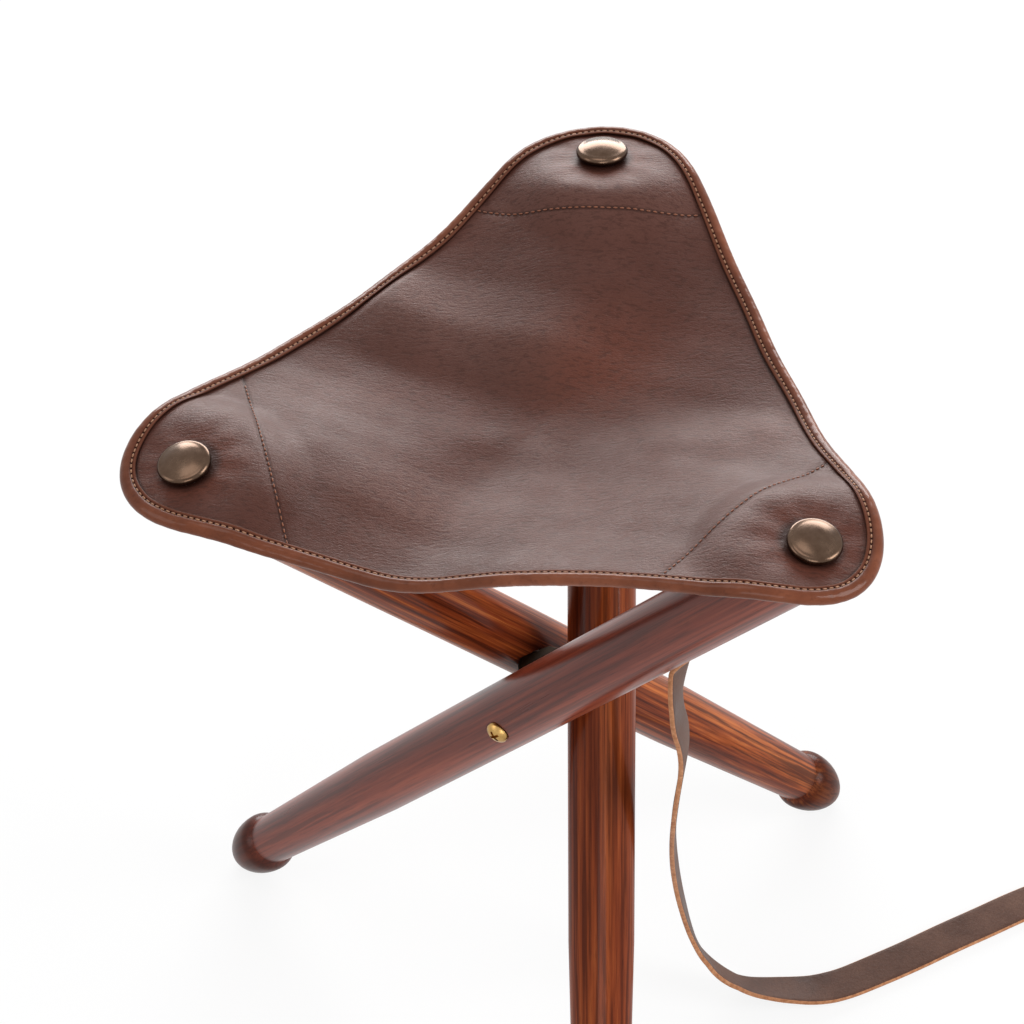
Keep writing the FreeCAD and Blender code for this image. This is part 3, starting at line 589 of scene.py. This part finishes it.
def castMetal(name, dark, light, tarnish, roughLow, roughHigh):
    material, tree, bsdf = newMaterial(name)
    place = ownPlace(tree)
    cloud = noise(tree, place, 130, 5, 0.65)
    speck = noise(tree, place, 1300, 3, 0.6)
    colour = ramp(tree, cloud, [(0.28, dark), (0.72, light)])
    colour = tint(tree, span(tree, speck, 0.55, 0.75, 0.0, 0.35), colour, tarnish)
    join(tree, bsdf, Base_Color=colour, Roughness=span(tree, cloud, 0.3, 0.7, roughLow, roughHigh),
         Normal=bumpUp(tree, ask(tree, "ADD", speck, cloud), 0.09, 0.0002), Metallic=1.0)
    return material


def legMatrix(angle):
    # local X runs out along the pivot screw, Z up the leg, Y out of its underside
    turn = turnBy(angle, "Z")
    base = turn @ Vector((stool["legOffset"] * mm, 0, 0)) + Vector((0, 0, stool["hubHeight"] * mm))
    return Matrix.Translation(base) @ turn @ turnBy(-stool["legTilt"], "X")


def studNormal(angle):
    dip = math.radians(stool["studDip"])
    return Matrix.Rotation(math.radians(angle), 3, "Z") @ Vector((0, math.sin(dip), math.cos(dip)))


strapFinish = strapLeather()
dress(strapPiece, strapFinish)
# each metal: dark, light and tarnished colour, least and most roughness
metals = {"aged_bronze": ((0.078, 0.046, 0.030), (0.122, 0.078, 0.054), (0.038, 0.020, 0.012), 0.18, 0.30),
          "bright_brass": ((0.36, 0.20, 0.060), (0.60, 0.38, 0.14), (0.16, 0.075, 0.022), 0.24, 0.38),
          # the hub's metal is near black: painted shadow where the legs cross over it
          "hub_painted_shadow": ((0.012, 0.006, 0.003), (0.026, 0.014, 0.007), (0.007, 0.003, 0.002), 0.45, 0.65),
          "washer_steel": ((0.36, 0.35, 0.33), (0.58, 0.57, 0.55), (0.18, 0.16, 0.14), 0.26, 0.42)}
bronze, brass, hubPaintedShadow, steel = [castMetal(name, *look) for name, look in metals.items()]

# legs: one turning each, with an acorn foot and a neck, thicker towards the top
leg = {"steps": 96, "foot": 275.3, "tip": 8.0, "belly": (15.25, -247.3), "bellyRadius": 39.211,
       "shoulder": (12.5, -239.656), "shoulderRadius": 12.0, "low": (15.4, -125.0), "pivot": 15.85,
       "taperStart": 40.0, "top": (16.35, 256.0), "screwHole": 2.55, "headSpot": 14.85, "headSpotRadius": 6.0,
       "washerSpot": 15.05, "washerSpotRadius": 6.6, "studHole": 2.27, "studDeep": 28.4,
       "strapScrew": 132.0, "strapRound": 58.0, "strapHole": 2.02,
       # lengths of the cutters
       "throughCut": 60.0, "spotCut": 10.0, "studCut": 40.0, "strapCut": 30.0,
       # where the foot's finish ends, in metres up the leg
       "neckLine": (-0.243, -0.236)}
woodShades = {
    "rear": {"bands": [(0.30, (0.080, 0.0130, 0.0045)), (0.45, (0.145, 0.0250, 0.0075)),
                       (0.56, (0.215, 0.043, 0.0115)), (0.72, (0.330, 0.085, 0.024))],
             "streak": 0.62, "dark": (0.036, 0.0060, 0.0026), "glow": 0.42, "light": (0.40, 0.105, 0.026),
             "gloss": 0.13, "satin": 0.10, "shift": (0.0, 0.3, 0.11)},
    "left": {"bands": [(0.30, (0.075, 0.0125, 0.0045)), (0.45, (0.180, 0.032, 0.0085)),
                       (0.56, (0.285, 0.062, 0.0145)), (0.72, (0.450, 0.130, 0.034))],
             "streak": 0.75, "dark": (0.030, 0.0052, 0.0024), "glow": 0.75, "light": (0.52, 0.150, 0.035),
             "gloss": 0.20, "satin": 0.15, "shift": (0.7, 0.1, 0.47)},
    "right": {"bands": [(0.30, (0.078, 0.0122, 0.0066)), (0.45, (0.144, 0.0235, 0.0112)),
                        (0.56, (0.210, 0.038, 0.0175)), (0.72, (0.310, 0.072, 0.032))],
              "streak": 0.58, "dark": (0.038, 0.0075, 0.0045), "glow": 0.35, "light": (0.29, 0.068, 0.028),
              "gloss": 0.38, "satin": 0.25, "shift": (0.2, 0.9, 0.83)}}


def legProfile():
    tipCentre = -leg["foot"] + leg["tip"]
    bellyCentre = (leg["belly"][0] - leg["bellyRadius"], leg["belly"][1])
    gap = math.hypot(bellyCentre[0], tipCentre - bellyCentre[1])
    touch = (-bellyCentre[0] / gap * leg["tip"], tipCentre + (tipCentre - bellyCentre[1]) / gap * leg["tip"])
    stops = [(0.0, -leg["foot"])]
    stops += arcStops(stops[-1], touch, leg["tip"], 8)
    stops += arcStops(touch, leg["belly"], leg["bellyRadius"], 9)
    stops += arcStops(leg["belly"], leg["shoulder"], leg["shoulderRadius"], 7)
    shaft = [leg["shoulder"], leg["low"], (leg["pivot"], 0.0), (leg["pivot"], leg["taperStart"]), leg["top"]]
    for start, stop, count in zip(shaft, shaft[1:], (6, 3, 2, 6)):
        stops += lineStops(start, stop, count)
    return stops + [(0.0, leg["top"][1])]


def makeLeg(side, angle):
    piece = turnProfile("leg_%s_turning" % side, legProfile(), leg["steps"])
    place = legMatrix(angle)
    settle(piece, place)
    # the top is cut to lie under the leather and the foot is levelled at the floor
    legEnd = place @ Vector((0, 0, stool["legEnd"] * mm))
    startEdit(piece)
    bpy.ops.mesh.bisect(plane_co=legEnd, plane_no=studNormal(angle), use_fill=True, clear_outer=True)
    bpy.ops.mesh.select_all(action="SELECT")
    bpy.ops.mesh.bisect(plane_co=(0, 0, 0), plane_no=(0, 0, -1), use_fill=True, clear_outer=True)
    endEdit()
    outAlongX = place @ turnBy(90, "Y")
    bore(piece, outAlongX @ upBy(-leg["throughCut"] / 2), leg["screwHole"], leg["throughCut"])
    bore(piece, outAlongX @ upBy(leg["headSpot"]), leg["headSpotRadius"], leg["spotCut"])
    inAlongX = place @ turnBy(-90, "Y")
    bore(piece, inAlongX @ upBy(leg["washerSpot"]), leg["washerSpotRadius"], leg["spotCut"])
    intoLeg = Matrix.Translation(legEnd) @ aimed(studNormal(angle))
    bore(piece, intoLeg @ upBy(-leg["studDeep"]), leg["studHole"], leg["studCut"])
    if side == "right":
        strapSide = place @ upBy(leg["strapScrew"]) @ turnBy(leg["strapRound"], "Z") @ turnBy(-90, "X")
        bore(piece, strapSide, leg["strapHole"], leg["strapCut"])
    smooth(piece, 32)
    dress(piece, turnedWood(side, angle))
    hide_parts("leg_" + side)
    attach(piece, "leg_" + side)


for side, angle in sides:
    makeLeg(side, angle)
print("legs are turned")

# corner studs: a low domed cap with a rolled edge on a long shank
stud = {"steps": 72, "cap": 11.8, "edge": 2.2, "side": 4.6, "tall": 6.6, "shank": 2.25, "long": 34.0,
        "stack": 6.2, "gap": 0.3}


def makeStud(side, angle):
    rise = stud["tall"] - stud["side"]
    half = stud["cap"] - stud["edge"]
    dome = (half ** 2 + rise ** 2) / (2 * rise)
    stops = [(0.0, -stud["long"]), (stud["shank"] / 2, -stud["long"]),
             (stud["shank"], -stud["long"] + 2 * stud["shank"]), (stud["shank"], 0.0), (half, 0.0)]
    stops += arcStops(stops[-1], (stud["cap"], stud["edge"]), stud["edge"], 5)
    stops += [(stud["cap"], stud["side"] - stud["edge"])]
    stops += arcStops(stops[-1], (half, stud["side"]), stud["edge"], 6)
    stops += arcStops(stops[-1], (0.0, stud["tall"]), dome, 9)
    piece = turnProfile("stud_%s_cap" % side, stops, stud["steps"])
    normal = studNormal(angle)
    legEnd = legMatrix(angle) @ Vector((0, 0, stool["legEnd"] * mm))
    lift = stud["stack"] * math.cos(math.radians(stool["studDip"])) + stud["gap"]
    settle(piece, Matrix.Translation(legEnd + normal * lift * mm) @ aimed(normal))
    smooth(piece, 40)
    dress(piece, bronze)
    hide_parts("corner_stud_" + side)
    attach(piece, "leg_" + side)


for side, angle in sides:
    makeStud(side, angle)
print("studs are set")

# screws with a domed head and a cross recess
screw = {"steps": 48, "recessLong": 5.4, "recessWide": 1.3, "recessDeep": 2.0, "recessTurn": 38,
         "cutTall": 4.0,
         "pivot": {"shank": 2.5, "head": 5.4, "side": 1.6, "tall": 4.0, "long": 36.85, "cross": 1.0},
         "strap": {"shank": 2.0, "head": 4.0, "side": 0.9, "tall": 2.4, "long": 18.0, "cross": 0.78}}


def makeScrew(name, kind, matrix):
    size = screw[kind]
    rise = size["tall"] - size["side"]
    dome = (size["head"] ** 2 + rise ** 2) / (2 * rise)
    point = size["shank"] / 2
    stops = [(0.0, -size["long"]), (size["shank"] - point, -size["long"]),
             (size["shank"], -size["long"] + point), (size["shank"], 0.0), (size["head"] - 0.25, 0.0),
             (size["head"], 0.25), (size["head"], size["side"] - 0.3), (size["head"] - 0.12, size["side"])]
    stops += arcStops(stops[-1], (0.0, size["tall"]), dome, 8)
    piece = turnProfile(name, stops, screw["steps"])
    for turn in (0, 90):
        deselect()
        bpy.ops.mesh.primitive_cube_add(size=1)
        bar = bpy.context.object
        deep = screw["recessDeep"] * size["cross"]
        bar.matrix_world = (turnBy(turn + screw["recessTurn"], "Z")
                            @ upBy(size["tall"] - deep + screw["cutTall"] / 2)
                            @ Matrix.Diagonal((screw["recessLong"] * size["cross"] * mm,
                                               screw["recessWide"] * size["cross"] * mm,
                                               screw["cutTall"] * mm, 1)))
        carve(piece, bar)
    settle(piece, matrix)
    smooth(piece, 35)
    dress(piece, brass)
    return piece


for side, angle in sides:
    headOut = stool["legOffset"] + leg["headSpot"]
    place = upBy(stool["hubHeight"]) @ turnBy(angle, "Z") @ turnBy(90, "Y") @ upBy(headOut)
    piece = makeScrew("pivot_screw_%s_head" % side, "pivot", place)
    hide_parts("pivot_screw_" + side)
    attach(piece, "hub")
under = legMatrix(dict(sides)["right"]) @ turnBy(leg["strapRound"], "Z")
strapWay = under.to_3x3() @ Vector((0, 1, 0))
strapHead = max((v.co - under.to_translation()).dot(strapWay) for v in nodes["strap_screw"].data.vertices)
place = (under @ Matrix.Translation((0, strapHead - screw["strap"]["tall"] * mm, leg["strapScrew"] * mm))
         @ turnBy(-90, "X"))
piece = makeScrew("strap_screw_head", "strap", place)
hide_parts("strap_screw")
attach(piece, "leg_right")
print("screws are driven")

# seat: one leather panel, made as three sectors, one for each corner
seat = {"thick": 3.2, "across": 150, "outward": 110, "grow": -13.7, "lobe": 32.1, "full": 8.4, "tip": 2.2,
        "lean": -1.9, "curl": -0.66, "sag": 27.4, "crest": 0.993, "narrow": 2.28, "rise": 7.5,
        "sideRadius": 112.0, "twist": 1.1, "clampFlat": 19.0, "clampFade": 34.0, "seamDeep": 0.35,
        "seamWide": 2.4, "panelInset": 1.6, "weld": 0.0000005,
        # each corner seam: its reach from the middle, its slant and its bow
        "seams": {"rear": (115.7, -0.1, 0.0035), "left": (119.5, 0.085, 0.0), "right": (117.0, 0.03, 0.0009)},
        # the front edge stands higher than the other two and is drawn in
        "frontTurn": 279.0, "frontSpread": 43.0, "frontTall": 14.0, "frontPull": 3.0,
        # each fold: start x, y, end x, y, half width, height
        "folds": ((-64, 72, 0, 46, 24, 5.5), (-66, 36, -4, 6, 12, -1.0), (-20, 122, 60, 120, 14, 0.6),
                  (-104, -36, -48, -18, 28, -2.6), (58, -12, 98, -12, 16, 3.2),
                  (-70, -50, -15, -66, 16, 1.6)),
        # loose waves of a worn panel: height, then two sines by x, y and start
        "waves": ((0.35, (0.083, 0.047, 1.1), (0.052, -0.09, 0.4)),
                  (0.14, (0.21, 0.13, 0), (-0.11, 0.17, 1.9))),
        # pleats round each stud, and where the folds fade out before it
        "pleats": 9, "pleatTall": 0.20, "pleatReach": 21, "pleatWide": 8.0, "calm": 13, "calmFade": 16,
        # a redder place: middle x, y, half widths, strength; and how far the raised folds are made paler,
        # part rubbed wear and part painted sheen
        "warm": (30, 34, 36, 30, 0.75), "wearAndSheen": 0.22}


def hang(x, y):
    out = np.hypot(x, y)
    reach = out / stool["studRadius"]
    turn = 3 * (np.arctan2(y, x) - math.radians(stool["cornerTurn"]))
    corner = ((1 + np.cos(turn)) / 2) ** seat["narrow"]
    toCorner = seat["sag"] * (1 - np.cos(math.pi * np.minimum(reach, 1.4) / seat["crest"])) / 2
    toSide = seat["rise"] * (out / seat["sideRadius"]) ** 2
    along = np.minimum(reach / 1.2, 1)
    # 28.94 makes the greatest value of the bump along the way 1
    twist = seat["twist"] * np.sin(turn) * 28.94 * along ** 3 * (1 - along) ** 2
    return corner * toCorner + (1 - corner) * toSide - twist


def studPlace(angle):
    a = math.radians(angle)
    return (stool["legOffset"] * math.cos(a) - stool["studOut"] * math.sin(a),
            stool["legOffset"] * math.sin(a) + stool["studOut"] * math.cos(a))


def ease(value):
    value = np.clip(value, 0, 1)
    return value * value * (3 - 2 * value)


studHang = float(hang(*studPlace(0)))


def seatTop(x, y):
    # upper face of the leather without its small folds
    level = hang(x, y) - studHang
    lean = math.tan(math.radians(stool["studDip"]))
    for side, angle in sides:
        a = math.radians(angle)
        sx, sy = studPlace(angle)
        away = np.hypot(x - sx, y - sy)
        held = ease((seat["clampFlat"] + seat["clampFade"] - away) / seat["clampFade"])
        flat = -lean * ((x - sx) * -math.sin(a) + (y - sy) * math.cos(a))
        level = level + held * (flat - level)
    return stool["studLevel"] + level


def cornerWay(angle):
    turn = math.radians(stool["cornerTurn"] + angle)
    return math.cos(turn), math.sin(turn)


def seamAhead(side, along):
    reach, slant, bow = seat["seams"][side]
    return reach + slant * along + bow * along ** 2


def seamGap(x, y):
    # distance from the nearest corner seam, measured towards the corner
    gap = np.full(np.shape(x), 99.0)
    for side, angle in sides:
        cx, cy = cornerWay(angle)
        along = -x * cy + y * cx
        ahead = x * cx + y * cy - seamAhead(side, along)
        gap = np.where(np.abs(ahead) < np.abs(gap), ahead, gap)
    return gap


def frontShare(theta):
    # how much of the front edge's lift is met at a turn round the seat
    off = (theta - math.radians(seat["frontTurn"]) + math.pi) % (2 * math.pi) - math.pi
    return np.cos(np.clip(off / math.radians(seat["frontSpread"]), -1, 1) * math.pi / 2) ** 2


def frontLift(x, y):
    return seat["frontTall"] * frontShare(np.arctan2(y, x)) * (np.hypot(x, y) / seat["sideRadius"]) ** 1.5


def foldShare(fold, x, y):
    # 1 on the line of a fold, fading away beside it
    x0, y0, x1, y1, wide = fold[:5]
    dx = x1 - x0
    dy = y1 - y0
    share = np.clip(((x - x0) * dx + (y - y0) * dy) / (dx * dx + dy * dy), 0, 1)
    gap = np.hypot(x - x0 - share * dx, y - y0 - share * dy)
    return np.exp(-(gap / wide) ** 2)


def rimGap(x, y):
    return outlineRadius(np.arctan2(y, x)) - np.hypot(x, y)


def foldRise(x, y):
    total = np.zeros(np.shape(x))
    for fold in seat["folds"]:
        total = total + fold[-1] * foldShare(fold, x, y)
    for tall, *pair in seat["waves"]:
        one, two = [np.sin(byX * x + byY * y + start) for byX, byY, start in pair]
        total = total + tall * one * two
    for side, angle in sides:
        sx, sy = studPlace(angle)
        away = np.hypot(x - sx, y - sy)
        bearing = np.arctan2(y - sy, x - sx)
        pleat = seat["pleatTall"] * np.exp(-((away - seat["pleatReach"]) / seat["pleatWide"]) ** 2)
        calm = ease((away - seat["calm"]) / seat["calmFade"])
        total = total * calm + pleat * np.sin(seat["pleats"] * bearing + angle)
    rim = rimGap(x, y)
    groove = seat["seamDeep"] * np.exp(-(seamGap(x, y) / seat["seamWide"]) ** 2) * ease((rim - 8) / 3)
    return total * ease(rim / 12) - groove + frontLift(x, y)


def leatherTop(x, y):
    return seatTop(x, y) + foldRise(x, y)


def outlineRadius(theta):
    turn = 3 * (theta - math.radians(stool["cornerTurn"]))
    return (stool["studRadius"] + seat["grow"] + seat["lobe"] * np.cos(turn) + seat["full"] * np.cos(2 * turn)
            + seat["tip"] * np.cos(3 * turn) + seat["lean"] * np.sin(turn) + seat["curl"] * np.sin(2 * turn)
            - seat["frontPull"] * frontShare(theta))


def outlineSpot(theta, inset):
    # a point of the outline, moved in square to it
    step = 1e-4
    ahead = outlineRadius(theta + step)
    behind = outlineRadius(theta - step)
    radius = outlineRadius(theta)
    dx = ahead * np.cos(theta + step) - behind * np.cos(theta - step)
    dy = ahead * np.sin(theta + step) - behind * np.sin(theta - step)
    size = np.hypot(dx, dy)
    return radius * np.cos(theta) - inset * dy / size, radius * np.sin(theta) + inset * dx / size


def topNormal(x, y):
    step = 0.05
    sx = (leatherTop(x + step, y) - leatherTop(x - step, y)) / (2 * step)
    sy = (leatherTop(x, y + step) - leatherTop(x, y - step)) / (2 * step)
    size = np.sqrt(sx ** 2 + sy ** 2 + 1)
    return np.stack([-sx / size, -sy / size, 1 / size], -1)


def sectorTurns(angle, count):
    return math.radians(stool["cornerTurn"] + angle) + np.linspace(-math.pi / 3, math.pi / 3, count)


def followCorner(piece):
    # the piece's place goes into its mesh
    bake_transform(piece)


grainSide = seatLeather("seat_leather", False)
fleshSide = seatLeather("seat_flesh_side", True)


def markLeather(piece, x, y):
    # distances from seams, studs and rim, which place the painted shade lines, and the redder places and the
    # fold ridges made paler by wear and painted sheen, for the finish
    studs = [studPlace(angle) for side, angle in sides]
    warmX, warmY, wideX, wideY, strength = seat["warm"]
    raised = [foldShare(fold, x, y) for fold in seat["folds"] if fold[-1] > 0]
    mark(piece, "seamGap", np.clip(seamGap(x, y), -30, 30))
    mark(piece, "studAway", np.min([np.hypot(x - sx, y - sy) for sx, sy in studs], 0))
    mark(piece, "rimGap", rimGap(x, y))
    mark(piece, "warm", strength * np.exp(-(((x - warmX) / wideX) ** 2 + ((y - warmY) / wideY) ** 2)))
    mark(piece, "wearAndSheen", seat["wearAndSheen"] * np.max(raised, 0))


def makeSector(side, angle):
    theta = sectorTurns(angle, seat["across"] + 1)
    rimX, rimY = outlineSpot(theta, seat["panelInset"])
    share = np.linspace(0, 1, seat["outward"] + 1)
    share = 0.25 * share + 0.75 * share ** 0.8
    x = share[:, None] * rimX[None, :]
    y = share[:, None] * rimY[None, :]
    z = leatherTop(x, y)
    points = np.stack([x, y, z], -1).reshape(-1, 3) * mm
    piece = thickSheet("seat_leather_" + side, points, len(share), len(theta), seat["weld"], seat["thick"])
    mesh = piece.data
    topCount = len(mesh.vertices) // 2
    place = np.array([v.co for v in mesh.vertices]) / mm
    normals = topNormal(place[:, 0], place[:, 1])
    normals[topCount:] *= -1
    for polygon in mesh.polygons:
        polygon.use_smooth = True
    mesh.normals_split_custom_set_from_vertices([tuple(n) for n in normals])
    markLeather(piece, place[:, 0], place[:, 1])
    dress(piece, grainSide)
    piece.data.materials.append(fleshSide)
    for polygon in mesh.polygons:
        polygon.material_index = int(max(polygon.vertices) >= topCount)
    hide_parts("seat_panel")
    followCorner(piece)
    return piece


sectors = {side: makeSector(side, angle) for side, angle in sides}
print("seat leather is laid")

# edge binding: a leather strip folded over the panel's rim, rolled outside and stitched through
binding = {"steps": 300, "samples": 4001, "pitch": 2.9, "stitchInset": 5.25,
           "waves": ((0.06, 97, 0), (0.05, 211, 1)),
           # inset from the outline and height over the leather's top, round the fold
           "section": ((7.05, 0.22), (7.28, 0.60), (7.15, 1.10), (6.80, 1.32), (6.30, 1.40), (5.85, 1.32),
                       (5.55, 1.08), (5.25, 0.98), (4.95, 1.08), (4.65, 1.40), (4.20, 1.66), (3.60, 1.80),
                       (2.90, 1.78), (2.20, 1.55), (1.55, 1.16), (1.00, 0.66), (0.50, 0.00), (0.18, -0.75),
                       (0.05, -1.60), (0.18, -2.45), (0.50, -3.20), (1.00, -3.85), (1.70, -4.38),
                       (2.60, -4.70), (3.60, -4.82), (5.00, -4.80), (6.40, -4.74), (6.90, -4.55),
                       (7.05, -4.05), (7.00, -3.42), (1.42, -3.42), (1.42, 0.20))}


def runAlong(angle):
    # outline turns of one sector, with the length run along the stitch line in stitches
    theta = sectorTurns(angle, binding["samples"])
    x, y = outlineSpot(theta, binding["stitchInset"])
    run = np.concatenate([[0], np.cumsum(np.hypot(np.diff(x), np.diff(y)))])
    whole = round(run[-1] / binding["pitch"])
    return theta, run / run[-1] * whole, whole


def makeBinding(side, angle):
    theta, run, whole = runAlong(angle)
    turns = np.interp(np.linspace(0, whole, binding["steps"] + 1), run, theta)
    rings = []
    inset = []
    stitchRun = []
    for k, turn in enumerate(turns):
        wave = ripple(binding["waves"], turn)
        ring = []
        for a, b in binding["section"]:
            x, y = outlineSpot(np.array(turn), a)
            grow = wave if 0.1 < a < 4.2 else 0.0  # only the roll is uneven
            ring.append((float(x) * mm, float(y) * mm, float(leatherTop(x, y) + b + grow) * mm))
            inset.append(a)
            stitchRun.append(k * whole / binding["steps"])
        rings.append(ring)
    piece = tubeMesh("edge_binding_" + side, rings)
    mark(piece, "inset", inset)
    mark(piece, "stitchRun", stitchRun)
    smooth(piece, 50)
    dress(piece, bindingFinish)
    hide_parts("edge_binding")
    followCorner(piece)
    return piece


bindingFinish = bindingLeather()
bindings = {side: makeBinding(side, angle) for side, angle in sides}
print("binding is folded over")

# stitches: one short twist of thread, copied along each line
stitch = {"long": 2.05, "wide": 0.78, "tall": 0.62, "seamPitch": 2.9, "seamHalf": 53.0, "bindingLift": 1.12,
          "seamLift": 0.22, "rimClear": 9.5, "halfPitch": 0.3, "halfStep": 0.8}
tanThread = wovenThread("tan_thread", (0.20, 0.085, 0.040), (0.46, 0.245, 0.135))
rustThread = wovenThread("rust_thread", (0.120, 0.034, 0.014), (0.270, 0.085, 0.036))


def oneStitch():
    deselect()
    bpy.ops.mesh.primitive_uv_sphere_add(segments=8, ring_count=6, radius=0.5)
    piece = bpy.context.object
    startEdit(piece)
    bpy.ops.transform.rotate(value=math.radians(90), orient_axis="Y", center_override=(0, 0, 0))
    size = (stitch["long"] * mm, stitch["wide"] * mm, stitch["tall"] * mm)
    bpy.ops.transform.resize(value=size, center_override=(0, 0, 0))
    endEdit()
    return piece


def sewLine(name, spots, finish):
    # spots: place, way along and way up of each stitch
    model = oneStitch()
    copies = []
    for place, along, up in spots:
        copy = model.copy()
        copy.data = model.data.copy()
        bpy.context.scene.collection.objects.link(copy)
        sideways = Vector(up).cross(Vector(along)).normalized()
        top = Vector(along).cross(sideways).normalized()
        turn = Matrix((Vector(along).normalized(), sideways, top)).transposed()
        copy.data.transform(Matrix.Translation(place) @ turn.to_4x4())
        copies.append(copy)
    bpy.data.objects.remove(model)
    deselect()
    for copy in copies:
        copy.select_set(True)
    bpy.context.view_layer.objects.active = copies[0]
    bpy.ops.object.join()
    piece = bpy.context.object
    piece.name = name
    piece.data.name = name
    pick(piece)
    bpy.ops.object.shade_smooth()
    dress(piece, finish)
    return piece


def stitchSpot(x, y, lift):
    # from three points of its line: the place, way along and way up of a stitch
    points = np.stack([x, y, leatherTop(x, y) + lift], 1) * mm
    return tuple(points[1]), tuple(points[2] - points[0]), tuple(topNormal(x, y)[1])


def stitchBinding(side, angle):
    theta, run, whole = runAlong(angle)
    spots = []
    for k in range(whole):
        turn = np.interp(k + 0.5 + stitch["halfPitch"] * np.array([-1, 0, 1]), run, theta)
        x, y = outlineSpot(turn, binding["stitchInset"])
        spots.append(stitchSpot(x, y, stitch["bindingLift"]))
    piece = sewLine("binding_stitches_" + side, spots, tanThread)
    followCorner(piece)
    return piece


def stitchSeam(side, angle):
    cx, cy = cornerWay(angle)
    count = int(2 * stitch["seamHalf"] / stitch["seamPitch"])
    spots = []
    for k in range(count):
        across = stitch["halfStep"] * np.array([-1, 0, 1]) + (k - (count - 1) / 2) * stitch["seamPitch"]
        ahead = seamAhead(side, across)
        x = ahead * cx - across * cy
        y = ahead * cy + across * cx
        if rimGap(x[1], y[1]) >= stitch["rimClear"]:
            spots.append(stitchSpot(x, y, stitch["seamLift"]))
    piece = sewLine("seam_stitches_" + side, spots, rustThread)
    followCorner(piece)
    return piece


trims = {side: [bindings[side], stitchBinding(side, angle), stitchSeam(side, angle)] for side, angle in sides}
print("stitches are sewn")

# a leather patch under each corner, sewn to the panel
patch = {"gap": 0.3, "thick": 2.4, "inset": 7.3, "innerReach": 115.5, "across": 48, "outward": 26,
         "weld": 0.000002, "halfTurn": 0.55, "samples": 2001}
patchFinish = seatLeather("patch_leather", True)


def makePatch(side, angle):
    centre = math.radians(stool["cornerTurn"] + angle)
    turns = centre + np.linspace(-patch["halfTurn"], patch["halfTurn"], patch["samples"])
    x, y = outlineSpot(turns, patch["inset"])
    cx, cy = cornerWay(angle)
    ahead = x * cx + y * cy
    kept = turns[ahead > patch["innerReach"]]
    turns = np.linspace(kept[0], kept[-1], patch["across"] + 1)
    rimX, rimY = outlineSpot(turns, patch["inset"])
    start = patch["innerReach"] / (rimX * cx + rimY * cy)
    share = start[None, :] + (1 - start[None, :]) * np.linspace(0, 1, patch["outward"] + 1)[:, None]
    px = share * rimX[None, :]
    py = share * rimY[None, :]
    pz = seatTop(px, py) + frontLift(px, py) - seat["thick"] - patch["gap"]
    points = np.stack([px, py, pz], -1).reshape(-1, 3) * mm
    piece = thickSheet("corner_patch_" + side + "_leather", points, patch["outward"] + 1,
                       patch["across"] + 1, patch["weld"], patch["thick"])
    smooth(piece, 50)
    dress(piece, patchFinish)
    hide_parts("corner_patch_" + side)
    followCorner(piece)


for side, angle in sides:
    makePatch(side, angle)
print("corner patches are under the seat")

# hub and washers keep their solids and get their metal; the hub's is near black, painted shadow where the
# legs cross over it
for name, node in nodes.items():
    if name == "three_way_hub" or "washer" in name:
        for metalSlot in node.material_slots:
            metalSlot.material = steel if "washer" in name else hubPaintedShadow
